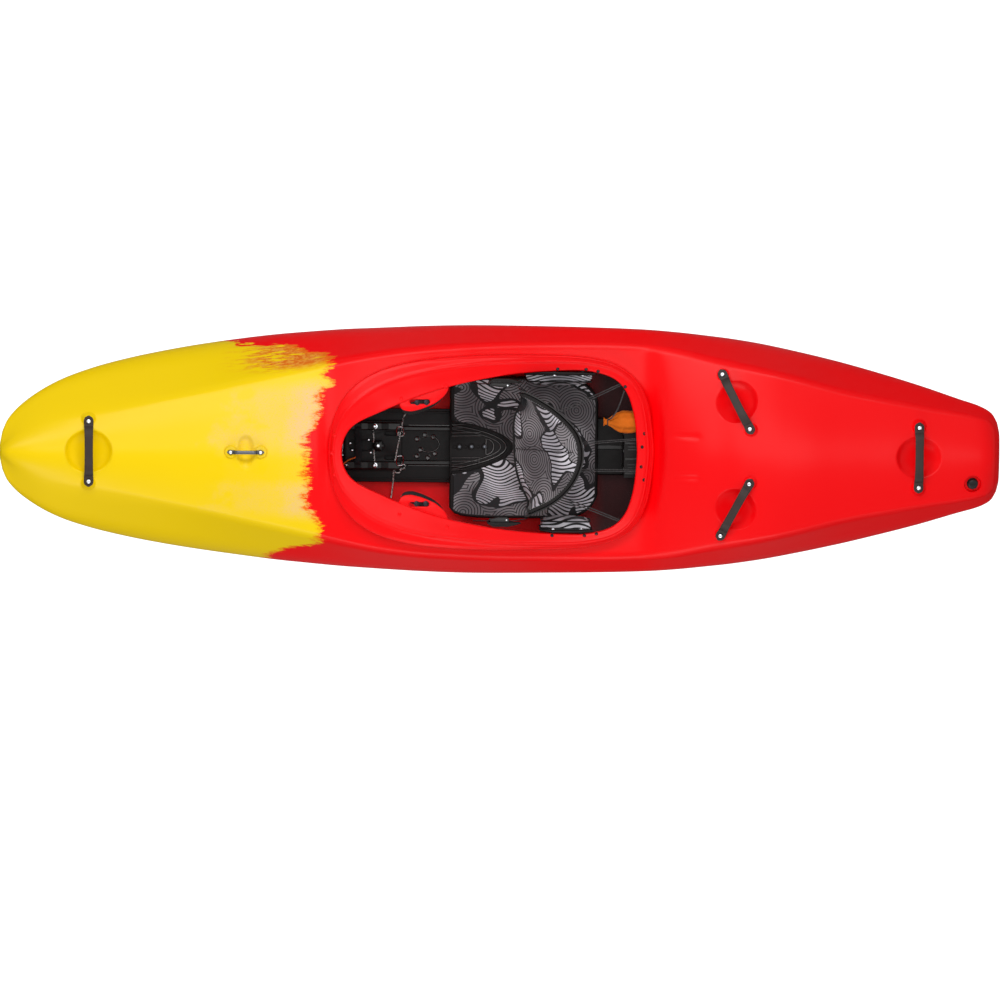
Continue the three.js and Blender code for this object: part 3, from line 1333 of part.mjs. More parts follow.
// Stow bag on its cord, beside the pillar
const bagMiddle = [bagX + bagLength / 2, bagY, bagZ + bagHeight / 2];
const bagGeometry = new THREE.SphereGeometry(1, bagSides, bagRings);
bagGeometry.scale(bagLength / 2, bagWidth / 2, bagHeight / 2);
bagGeometry.translate(...bagMiddle);
addPiece('stow_bag', solidOf(bagGeometry), yellowFabric);
const bagTop = bagZ + bagHeight - bagTieDrop;
addPiece('bag_cord', tubeSolid([
  [bagMiddle[0], bagY, bagTop + cordDiameter / 2],
  [bagMiddle[0] - cordDiameter, bagY + cordDiameter, bagTop + cordDiameter],
  [bagCordEnd[0], bagCordEnd[1] - cordDiameter * 2, rimTopAt(bagCordEnd[0]) - cordDrop],
  [...bagCordEnd, rimTopAt(bagCordEnd[0]) - cordDrop],
], cordDiameter), cordBraid);

export default kayak;
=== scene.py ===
# Whitewater kayak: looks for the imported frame, in metres; sizes are written in millimetres
import math
import bmesh
import bpy
import numpy as np
from mathutils import Matrix, Vector
from mathutils.bvhtree import BVHTree


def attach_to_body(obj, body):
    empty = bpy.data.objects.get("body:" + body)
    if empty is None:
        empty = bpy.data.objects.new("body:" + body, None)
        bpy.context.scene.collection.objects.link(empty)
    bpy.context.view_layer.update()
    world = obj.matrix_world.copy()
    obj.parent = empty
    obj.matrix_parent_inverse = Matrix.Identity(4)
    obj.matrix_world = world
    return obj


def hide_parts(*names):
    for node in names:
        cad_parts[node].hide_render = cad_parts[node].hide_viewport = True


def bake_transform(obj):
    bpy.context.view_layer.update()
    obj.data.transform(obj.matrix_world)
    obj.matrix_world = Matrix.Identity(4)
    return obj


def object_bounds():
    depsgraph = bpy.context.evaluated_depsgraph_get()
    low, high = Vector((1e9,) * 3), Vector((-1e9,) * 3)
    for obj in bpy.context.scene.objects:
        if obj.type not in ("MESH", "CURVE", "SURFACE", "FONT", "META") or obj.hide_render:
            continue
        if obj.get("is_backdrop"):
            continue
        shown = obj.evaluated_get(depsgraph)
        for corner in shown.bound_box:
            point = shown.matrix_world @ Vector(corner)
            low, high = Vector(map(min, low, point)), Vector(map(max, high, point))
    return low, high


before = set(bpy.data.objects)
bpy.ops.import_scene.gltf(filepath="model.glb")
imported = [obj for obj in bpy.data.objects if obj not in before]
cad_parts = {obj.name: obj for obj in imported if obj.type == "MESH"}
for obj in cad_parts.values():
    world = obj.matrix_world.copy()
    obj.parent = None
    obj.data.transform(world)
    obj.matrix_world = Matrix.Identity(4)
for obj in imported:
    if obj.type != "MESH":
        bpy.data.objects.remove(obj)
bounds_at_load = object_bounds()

MM = 0.001
HULL_LENGTH = 2740
HULL_BEAM = 692
HULL_HEIGHT = 425
HULL_WALL = 6
OPENING_LENGTH = 816
OPENING_WIDTH = 454
OPENING_FRONT = -439
COAMING_LENGTH = 902
COAMING_WIDTH = 540
COAMING_FRONT = -476
LIP_DEPTH = 21
LIP_OVERHANG = 15
LIP_ROUND = 5
COAMING_DROP = 34
EDGE_DEPTH = 20
HALF_BEAM = HULL_BEAM / 2
STERN_X = HULL_LENGTH / 2
BEAM_SHARES = [
    (0, 0.06), (0.0025, 0.184), (0.0105, 0.287), (0.0186, 0.356), (0.0386, 0.474),
    (0.0587, 0.559), (0.0787, 0.62), (0.0988, 0.67), (0.1389, 0.747), (0.1991, 0.834),
    (0.2793, 0.917), (0.3596, 0.966), (0.4799, 1), (0.5602, 0.994), (0.6404, 0.978),
    (0.7207, 0.921), (0.7608, 0.874), (0.8009, 0.81), (0.841, 0.737), (0.8811, 0.652),
    (0.9213, 0.559), (0.9614, 0.4545), (0.9814, 0.403), (0.9935, 0.346), (0.9975, 0.3),
    (1, 0.2),
]
KEEL_SHARES = [
    (0, 0.9), (0.0025, 0.859), (0.0105, 0.795), (0.0186, 0.741), (0.0386, 0.638),
    (0.0587, 0.546), (0.0787, 0.468), (0.0988, 0.398), (0.1189, 0.333), (0.1389, 0.281),
    (0.159, 0.235), (0.1991, 0.153), (0.2392, 0.094), (0.2793, 0.052), (0.3195, 0.031),
    (0.3596, 0.014), (0.4, 0.003), (0.42, 0), (0.6, 0), (0.62, 0.006), (0.6404, 0.02),
    (0.6605, 0.04), (0.6805, 0.061), (0.7006, 0.087), (0.7207, 0.12), (0.7608, 0.184),
    (0.8009, 0.255), (0.841, 0.333), (0.8811, 0.424), (0.9213, 0.514), (0.9614, 0.612),
    (0.9975, 0.7), (1, 0.73),
]
DECK_SHARES = [
    (0, 0.95), (0.0025, 0.972), (0.0105, 0.993), (0.0266, 1), (0.0587, 0.974), (0.0787, 0.948),
    (0.0988, 0.934), (0.1189, 0.915), (0.159, 0.889), (0.1991, 0.871), (0.2593, 0.864),
    (0.2994, 0.852), (0.315, 0.842), (0.328, 0.805), (0.345, 0.81), (0.36, 0.809),
    (0.38, 0.809), (0.4, 0.795), (0.42, 0.776), (0.44, 0.744), (0.46, 0.718), (0.48, 0.685),
    (0.5, 0.655), (0.52, 0.626), (0.54, 0.6), (0.56, 0.581), (0.58, 0.572), (0.6, 0.567),
    (0.64, 0.567), (0.652, 0.59), (0.664, 0.675), (0.6805, 0.735), (0.7006, 0.785),
    (0.7207, 0.82), (0.7407, 0.856), (0.7608, 0.875), (0.7808, 0.887), (0.8009, 0.889),
    (0.841, 0.875), (0.8811, 0.864), (0.9413, 0.859), (0.9814, 0.862), (0.9935, 0.845),
    (0.9975, 0.818), (1, 0.79),
]
CREASE_SHARES = [
    (0, 0.945), (0.0186, 0.931), (0.0988, 0.856), (0.165, 0.802), (0.2312, 0.766),
    (0.2974, 0.753), (0.328, 0.76), (0.36, 0.785), (0.38, 0.79), (0.4, 0.782), (0.42, 0.765),
    (0.44, 0.736), (0.46, 0.712), (0.48, 0.68), (0.5, 0.652), (0.52, 0.624), (0.54, 0.598),
    (0.56, 0.58), (0.58, 0.57), (0.6, 0.565), (0.64, 0.565), (0.6605, 0.612), (0.7127, 0.708),
    (0.7458, 0.781), (0.7793, 0.813), (0.98, 0.813), (1, 0.775),
]
CREASE_SIDE_SHARES = [
    (0, 0.04), (0.0186, 0.17), (0.0436, 0.245), (0.1239, 0.341), (0.1991, 0.454),
    (0.2442, 0.532), (0.3164, 0.65), (0.345, 0.7), (0.389, 0.76), (0.435, 0.795), (0.515, 0.82),
    (0.595, 0.82), (0.66, 0.8), (0.7127, 0.722), (0.789, 0.6), (0.85, 0.477), (0.92, 0.375),
    (0.9915, 0.27), (1, 0.15),
]
GUNWALE_SHARES = [
    (0, 0.925), (0.0015, 0.899), (0.0486, 0.727), (0.0988, 0.588), (0.165, 0.482),
    (0.2147, 0.416), (0.2643, 0.384), (0.3315, 0.374), (0.5, 0.372), (0.6795, 0.395),
    (0.7327, 0.4), (0.7959, 0.438), (0.8621, 0.501), (0.9288, 0.598), (0.995, 0.715), (1, 0.75),
]
FLAT_SIDE_SHARES = [
    (0, 0.4), (0.1, 0.6), (0.184, 0.7), (0.3, 0.65), (0.48, 0.595), (0.6, 0.6), (0.75, 0.66),
    (0.85, 0.62), (1, 0.5),
]
CHINE_SIDE_SHARES = [
    (0, 0.78), (0.1, 0.84), (0.184, 0.86), (0.3, 0.8), (0.48, 0.73), (0.6, 0.735), (0.75, 0.79),
    (0.85, 0.8), (1, 0.8),
]
FLAT_RISE_SHARES = [
    (0, 0.1), (0.1, 0.05), (0.184, 0.012), (0.3, 0), (0.7, 0), (0.85, 0.02), (1, 0.05),
]
CHINE_RISE_SHARES = [
    (0, 0.3), (0.05, 0.27), (0.1, 0.2), (0.184, 0.13), (0.3, 0.11), (0.7, 0.11), (0.85, 0.15),
    (1, 0.25),
]
OPENING_SHARES = [
    (0, 0), (0.008, 0.16), (0.035, 0.32), (0.126, 0.485), (0.24, 0.66), (0.36, 0.8),
    (0.52, 0.92), (0.68, 0.985), (0.8, 1), (0.9, 0.94), (0.955, 0.79), (0.99, 0.42), (1, 0),
]
RIDGE_SHARES = [
    (0, 0), (0.01, 0.28), (0.045, 0.55), (0.1, 0.74), (0.19, 0.88), (0.33, 0.965), (0.52, 1),
    (0.72, 0.995), (0.85, 0.94), (0.93, 0.8), (0.98, 0.5), (1, 0),
]
RIM_SHARES = [
    (0.3265, 0.862), (0.3395, 0.882), (0.3596, 0.889), (0.3796, 0.889), (0.3997, 0.875),
    (0.4198, 0.856), (0.4398, 0.826), (0.4599, 0.798), (0.4799, 0.765), (0.5, 0.735),
    (0.5201, 0.706), (0.5401, 0.68), (0.5602, 0.661), (0.5802, 0.652), (0.6003, 0.647),
    (0.6404, 0.647), (0.68, 0.655),
]
HOOK_SHARES = [
    (0, 0), (0.02, 0.3), (0.12, 0.7), (0.3, 0.95), (0.48, 1), (0.68, 0.95), (0.86, 0.72),
    (0.97, 0.35), (1, 0),
]
SEAT_OUTLINE_SHARES = [
    (0, 0.84), (0.04, 0.93), (0.14, 0.98), (0.3, 1), (0.78, 1), (0.9, 0.93), (0.97, 0.8),
    (1, 0.66),
]
FOOT_PLATE_SHARES = [
    (0, 0), (0.8, 0.01), (0.97, 0.17), (1, 0.55), (0.74, 0.95), (0, 1),
]
ROUND_SHARES = [(0.1, 0.45), (0.42, 0.42), (0.42, 0.42), (0.13, 0.13)]
BOW_ROUNDING = 0.36
BOW_SHARE = 0.16


# Value at a share along a table, on a smooth curve that never overshoots its points
def read_shares(table, at):
    last = len(table) - 1
    if at <= table[0][0]:
        return table[0][1]
    if at >= table[last][0]:
        return table[last][1]
    k = 0
    while table[k + 1][0] < at:
        k += 1

    def slope(i):
        return (table[i + 1][1] - table[i][1]) / (table[i + 1][0] - table[i][0])

    def tangent(i):
        if i == 0:
            return slope(0)
        if i == last:
            return slope(last - 1)
        before, after = slope(i - 1), slope(i)
        return 0 if before * after <= 0 else 2 * before * after / (before + after)

    span = table[k + 1][0] - table[k][0]
    u = (at - table[k][0]) / span
    rest = 1 - u
    ends = table[k][1] * rest * rest * (1 + 2 * u) + table[k + 1][1] * u * u * (1 + 2 * rest)
    return ends + span * u * rest * (tangent(k) * rest - tangent(k + 1) * u)


# The same value averaged over a short run, so that the form has no kinks
def soft_shares(table, at, run=0.006):
    low, high = table[0][0], table[-1][0]
    reach = min(run, max(at - low, 0), max(high - at, 0))
    weights = ((-1, 0.12), (-0.5, 0.22), (0, 0.32), (0.5, 0.22), (1, 0.12))
    return sum(weight * read_shares(table, at + step * reach) for step, weight in weights)


def share_at(x):
    return (x + STERN_X) / HULL_LENGTH


def x_at(share):
    return share * HULL_LENGTH - STERN_X


def rim_top(x):
    return soft_shares(RIM_SHARES, share_at(x)) * HULL_HEIGHT


def half_opening(x):
    return read_shares(OPENING_SHARES, (x - OPENING_FRONT) / OPENING_LENGTH) * OPENING_WIDTH / 2


def lerp(a, b, u):
    return (a[0] + (b[0] - a[0]) * u, a[1] + (b[1] - a[1]) * u)


def section_corners(share):
    side = soft_shares(BEAM_SHARES, share, 0.004) * HALF_BEAM
    keel = soft_shares(KEEL_SHARES, share) * HULL_HEIGHT
    gunwale = soft_shares(GUNWALE_SHARES, share) * HULL_HEIGHT
    crease_side = HALF_BEAM * soft_shares(CREASE_SIDE_SHARES, share)
    crease = HULL_HEIGHT * soft_shares(CREASE_SHARES, share)
    deck = HULL_HEIGHT * soft_shares(DECK_SHARES, share, 0.004)
    rise = gunwale - keel
    return [
        (0, keel),
        (side * soft_shares(FLAT_SIDE_SHARES, share), keel + rise * soft_shares(FLAT_RISE_SHARES, share)),
        (side * soft_shares(CHINE_SIDE_SHARES, share), keel + rise * soft_shares(CHINE_RISE_SHARES, share)),
        (side, gunwale),
        (crease_side, crease),
        (crease_side * 0.5, crease + (deck - crease) * 0.75),
        (0, deck),
    ]


# Half a section in fine steps, from the keel round to the middle of the deck
def half_section(share, corner_steps=10, runs=(9, 3, 7, 9), crown_steps=16):
    corners = section_corners(share)
    points = [corners[0]]
    for i in range(1, 5):
        before, after = ROUND_SHARES[i - 1]
        if i == 4:
            before = after = before + BOW_ROUNDING * max(1 - share / BOW_SHARE, 0)
        start = lerp(corners[i], corners[i - 1], before)
        end = lerp(corners[i], corners[i + 1], after)
        origin = points[-1]
        steps = runs[i - 1]
        for k in range(1, steps):
            points.append(lerp(origin, start, k / steps))
        for k in range(corner_steps + 1):
            u = k / corner_steps
            points.append(lerp(lerp(start, corners[i], u), lerp(corners[i], end, u), u))
    edge, deck = points[-1], corners[6]
    control = (corners[4][0] / 3, deck[1])
    for k in range(1, crown_steps + 1):
        u = k / crown_steps
        points.append(lerp(lerp(edge, control, u), lerp(control, deck, u), u))
    widest = max(p[0] for p in points)
    target = max(p[0] for p in corners)
    return [(side * target / widest, height) for side, height in points]


def moved_in(points, wall):
    closed = [(-points[1][0], points[1][1])] + points + [(-points[-2][0], points[-2][1])]
    result = []
    for i, (side, height) in enumerate(points):
        dx = closed[i + 2][0] - closed[i][0]
        dz = closed[i + 2][1] - closed[i][1]
        length = math.hypot(dx, dz) or 1
        result.append((max(side - dz / length * wall, 0), height + dx / length * wall))
    return result


def hull_rings(shares, wall=0, **steps):
    rings = []
    for share in shares:
        half = half_section(share, **steps)
        if wall:
            half = moved_in(half, wall)
        mirrored = [(-side, height) for side, height in reversed(half[1:-1])]
        rings.append([(x_at(share), side, height) for side, height in half + mirrored])
    return rings


def loft(rings):
    count = len(rings[0])
    verts = [point for ring in rings for point in ring]
    faces = []
    for r in range(len(rings) - 1):
        for p in range(count):
            q = (p + 1) % count
            faces.append((r * count + p, (r + 1) * count + p, (r + 1) * count + q, r * count + q))
    for ring, base, turned in ((rings[0], 0, False), (rings[-1], (len(rings) - 1) * count, True)):
        middle = len(verts)
        verts.append(tuple(sum(p[a] for p in ring) / count for a in range(3)))
        for p in range(count):
            near, far = base + p, base + (p + 1) % count
            faces.append((middle, far, near) if turned else (middle, near, far))
    return verts, faces


# Quads between two rings of points, from where each ring starts
def ring_quads(a, b, count):
    return [(a + k, a + (k + 1) % count, b + (k + 1) % count, b + k) for k in range(count)]


# Faces of a row of rings, with a cap on each end or open
def tube_faces(rings, count, caps=True):
    faces = []
    for r in range(rings - 1):
        faces += ring_quads(r * count, (r + 1) * count, count)
    if caps:
        faces.append(tuple(range(count))[::-1])
        faces.append(tuple(range((rings - 1) * count, rings * count)))
    return faces


def loop_faces(sections):
    count, total = len(sections[0]), len(sections)
    verts = [point for section in sections for point in section]
    faces = []
    for s in range(total):
        faces += ring_quads(s * count, (s + 1) % total * count, count)
    return verts, faces


# Objects

def add_object(name, data):
    obj = bpy.data.objects.new(name, data)
    bpy.context.scene.collection.objects.link(obj)
    return obj


def make_object(name, verts, faces, mat, body="kayak", smooth=35, scale=MM):
    mesh = bpy.data.meshes.new(name)
    mesh.from_pydata([(x * scale, y * scale, z * scale) for x, y, z in verts], [], faces)
    mesh.validate(clean_customdata=False)
    obj = add_object(name, mesh)
    finish_mesh(mesh, smooth)
    mesh.materials.append(mat)
    attach(obj, body)
    return obj


def attach(obj, body):
    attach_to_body(obj, body)


# Merges close points, turns the faces outward and marks which edges are smooth
def finish_mesh(mesh, smooth=None, merge=0):
    bm = bmesh.new()
    bm.from_mesh(mesh)
    if merge:
        bmesh.ops.remove_doubles(bm, verts=bm.verts, dist=merge)
    bmesh.ops.recalc_face_normals(bm, faces=bm.faces)
    if smooth is not None:
        mark_smooth(bm, smooth)
    bm.to_mesh(mesh)
    bm.free()
    mesh.update()


def mark_smooth(bm, smooth):
    limit = math.radians(smooth)
    for face in bm.faces:
        face.smooth = True
    for edge in bm.edges:
        edge.smooth = not (len(edge.link_faces) == 2 and edge.calc_face_angle(0) > limit)


def bevel(obj, width):
    mod = obj.modifiers.new("Edge", "BEVEL")
    mod.width = width * MM
    mod.segments = 3
    mod.limit_method = "ANGLE"
    mod.angle_limit = math.radians(30)
    mod.harden_normals = False


# The letter in the name of a piece that has a twin on the other side
def letter(side):
    return "ab"[side > 0]


def placed(points, matrix):
    return points if matrix is None else [tuple(matrix @ Vector(p)) for p in points]


def box(name, low, high, mat, body="kayak", edge=1.0, matrix=None):
    corners = [(x, y, z) for x in (low[0], high[0]) for y in (low[1], high[1]) for z in (low[2], high[2])]
    faces = [(0, 1, 3, 2), (4, 6, 7, 5), (0, 4, 5, 1), (2, 3, 7, 6), (0, 2, 6, 4), (1, 5, 7, 3)]
    obj = make_object(name, placed(corners, matrix), faces, mat, body)
    bevel(obj, edge)
    return obj


def prism_data(points, low, high, matrix=None):
    count = len(points)
    verts = [(p[0], p[1], low) for p in points] + [(p[0], p[1], high) for p in points]
    faces = [tuple(range(count))[::-1], tuple(range(count, 2 * count))]
    return placed(verts, matrix), faces + ring_quads(0, count, count)


def prism(name, points, low, high, mat, body="kayak", edge=0.8, matrix=None):
    obj = make_object(name, *prism_data(points, low, high, matrix), mat, body)
    bevel(obj, edge)
    return obj


# Round piece about a frame's Z, from pairs of radius and height; ends on the axis are closed
def lathe(name, profile, mat, body="kayak", matrix=None, sides=40, squash=None):
    verts, faces, rows = [], [], []
    for radius, height in profile:
        if radius < 1e-6:
            rows.append([len(verts)])
            verts.append((0, 0, height))
        else:
            rows.append(list(range(len(verts), len(verts) + sides)))
            for k in range(sides):
                turn = 2 * math.pi * k / sides
                reach = radius * (squash(turn) if squash else 1)
                verts.append((reach * math.cos(turn), reach * math.sin(turn), height))
    for a, b in zip(rows, rows[1:]):
        for k in range(sides):
            n = (k + 1) % sides
            if len(a) == 1 and len(b) == 1:
                continue
            if len(a) == 1:
                faces.append((a[0], b[k], b[n]))
            elif len(b) == 1:
                faces.append((a[k], b[0], a[n]))
            else:
                faces.append((a[k], b[k], b[n], a[n]))
    return make_object(name, placed(verts, matrix), faces, mat, body)


# Smooth curve through points, as evenly spread points
def curve_points(points, steps=12):
    pts = [Vector(p) for p in points]
    if len(pts) == 2:
        return [pts[0].lerp(pts[1], k / steps) for k in range(steps + 1)]
    out = []
    for i in range(len(pts) - 1):
        p0 = pts[i - 1] if i else pts[i] * 2 - pts[i + 1]
        p1, p2 = pts[i], pts[i + 1]
        p3 = pts[i + 2] if i + 2 < len(pts) else pts[i + 1] * 2 - pts[i]
        for k in range(steps):
            t = k / steps
            out.append(0.5 * (2 * p1 + (p2 - p0) * t + (2 * p0 - 5 * p1 + 4 * p2 - p3) * t * t
                              + (3 * p1 - p0 - 3 * p2 + p3) * t * t * t))
    out.append(pts[-1])
    return out


# Closed sweep of a section (pairs across and up) along points; up hints the section's second axis
def sweep(name, path, section, mat, body="kayak", up=(0, 0, 1), caps=True):
    path = [Vector(p) for p in path]
    hint = Vector(up)
    verts = []
    for i, point in enumerate(path):
        along = (path[min(i + 1, len(path) - 1)] - path[max(i - 1, 0)]).normalized()
        across = along.cross(hint)
        across = across.normalized() if across.length > 1e-6 else Vector((0, 1, 0))
        lift = across.cross(along)
        for a, b in section:
            verts.append(tuple(point + across * a + lift * b))
        hint = lift
    return make_object(name, verts, tube_faces(len(path), len(section), caps), mat, body, 60)


def round_section(radius, sides=10):
    return [(radius * math.cos(2 * math.pi * k / sides), radius * math.sin(2 * math.pi * k / sides))
            for k in range(sides)]


def frame_from(origin, along, up):
    z = Vector(up).normalized()
    x = Vector(along)
    x = (x - z * x.dot(z)).normalized()
    y = z.cross(x)
    matrix = Matrix.Identity(4)
    for axis, column in enumerate((x, y, z, Vector(origin))):
        for row in range(3):
            matrix[row][axis] = column[row]
    return matrix


# Materials
def linear(r, g, b):
    def one(c):
        c /= 255
        return c / 12.92 if c <= 0.04045 else ((c + 0.055) / 1.055) ** 2.4
    return (one(r), one(g), one(b), 1)


# A colour made lighter or darker, with its alpha left at one
def toned(colour, factor, lift=0.0):
    return tuple(min(c * factor + lift, 1) for c in colour[:3]) + (1,)


class Shader:
    def __init__(self, name, slot):
        self.mat = bpy.data.materials.new(name)
        self.mat.use_nodes = True
        self.mat["slot"] = slot
        self.tree = self.mat.node_tree
        self.tree.nodes.clear()
        self.out = self.node("ShaderNodeOutputMaterial")
        self.bsdf = self.node("ShaderNodeBsdfPrincipled")
        self.link(self.bsdf.outputs["BSDF"], self.out.inputs["Surface"])
        self.place = self.node("ShaderNodeTexCoord").outputs["Object"]

    def node(self, kind, **props):
        item = self.tree.nodes.new(kind)
        for key, value in props.items():
            setattr(item, key, value)
        return item

    def link(self, a, b):
        self.tree.links.new(a, b)

    def put(self, socket, value):
        if isinstance(value, bpy.types.NodeSocket):
            self.link(value, socket)
        else:
            socket.default_value = value

    def set(self, **values):
        for key, value in values.items():
            self.put(self.bsdf.inputs[key.replace("_", " ")], value)
        return self

    def math(self, op, a, b=0.0):
        item = self.node("ShaderNodeMath", operation=op)
        self.put(item.inputs[0], a)
        self.put(item.inputs[1], b)
        return item.outputs[0]

    def plus(self, a, b):
        return self.math("ADD", a, b)

    def minus(self, a, b):
        return self.math("SUBTRACT", a, b)

    def times(self, a, b):
        return self.math("MULTIPLY", a, b)

    # A value from 0 to 1 turned into a swing about zero
    def swing(self, value, size):
        return self.times(self.minus(value, 0.5), size)

    def scaled(self, vector, factors):
        item = self.node("ShaderNodeVectorMath", operation="MULTIPLY")
        self.put(item.inputs[0], vector)
        self.put(item.inputs[1], factors)
        return item.outputs[0]

    def xyz(self):
        item = self.node("ShaderNodeSeparateXYZ")
        self.link(self.place, item.inputs[0])
        return item.outputs

    # Noise with its own scale along each axis
    def drawn(self, scales, detail, rough):
        return self.noise(self.scaled(self.place, scales), 1.0, detail, rough)

    def bands(self, direction, scale):
        item = self.node("ShaderNodeTexWave", wave_type="BANDS", bands_direction=direction)
        self.put(item.inputs["Vector"], self.place)
        self.put(item.inputs["Scale"], scale)
        return item.outputs[1]

    def join(self, x, y, z):
        item = self.node("ShaderNodeCombineXYZ")
        for socket, value in zip(item.inputs, (x, y, z)):
            self.put(socket, value)
        return item.outputs[0]

    def ramp(self, value, low, high, smooth=True):
        item = self.node("ShaderNodeMapRange", interpolation_type="SMOOTHSTEP" if smooth else "LINEAR")
        self.put(item.inputs[0], value)
        self.put(item.inputs[1], low)
        self.put(item.inputs[2], high)
        return item.outputs[0]

    def noise(self, vector=None, scale=5.0, detail=2.0, rough=0.5, distort=0.0):
        item = self.node("ShaderNodeTexNoise")
        self.put(item.inputs["Vector"], vector or self.place)
        self.put(item.inputs["Scale"], scale)
        self.put(item.inputs["Detail"], detail)
        self.put(item.inputs["Roughness"], rough)
        self.put(item.inputs["Distortion"], distort)
        return item.outputs[0]

    def mix(self, factor, a, b, blend="MIX"):
        item = self.node("ShaderNodeMix", data_type="RGBA", blend_type=blend)
        self.put(item.inputs[0], factor)
        self.put(item.inputs[6], a)
        self.put(item.inputs[7], b)
        return item.outputs[2]

    # Value of a table of (place, value) pairs read at a socket, both in the same unit
    def table(self, value, points):
        low, high = points[0][0], points[-1][0]
        bottom = min(v for _, v in points)
        top = max(v for _, v in points)
        at = self.ramp(value, low, high, False)
        item = self.node("ShaderNodeFloatCurve")
        curve = item.mapping.curves[0]
        scaled = [((p - low) / (high - low), (v - bottom) / (top - bottom)) for p, v in points]
        for k, (p, v) in enumerate(scaled):
            if k == 0:
                curve.points[0].location = (p, v)
            elif k == len(scaled) - 1:
                curve.points[-1].location = (p, v)
            else:
                curve.points.new(p, v)
        item.mapping.update()
        self.put(item.inputs["Value"], at)
        scaled_value = self.times(item.outputs[0], top - bottom)
        return self.plus(scaled_value, bottom)

    def bump(self, height, strength=0.2, distance=0.001, normal=None):
        item = self.node("ShaderNodeBump")
        self.put(item.inputs["Strength"], strength)
        self.put(item.inputs["Distance"], distance)
        self.put(item.inputs["Height"], height)
        if normal is not None:
            self.put(item.inputs["Normal"], normal)
        return item.outputs[0]


# Where yellow ends and red begins, in metres: by height on the side, by place across on deck and keel
SIDE_EDGE = [
    (0.0, -0.53), (0.036, -0.557), (0.065, -0.588), (0.112, -0.646), (0.165, -0.668), (0.25, -0.598),
    (0.301, -0.515), (0.355, -0.512),
]
DECK_EDGE = [
    (-0.3, -0.605), (-0.27, -0.545), (-0.21, -0.523), (-0.18, -0.52), (-0.127, -0.524), (-0.073, -0.518),
    (-0.026, -0.524), (0.016, -0.53), (0.07, -0.504), (0.123, -0.49), (0.171, -0.496), (0.195, -0.478),
    (0.213, -0.515), (0.25, -0.48), (0.278, -0.515),
]
KEEL_EDGE = [
    (-0.27, -0.591), (-0.2, -0.57), (-0.1, -0.52), (0.0, -0.5), (0.1, -0.52), (0.2, -0.57), (0.27, -0.591),
]
YELLOW = linear(252, 214, 0)
RED = linear(250, 0, 8)
ORANGE = linear(246, 112, 6)
PEACH = linear(243, 200, 146)


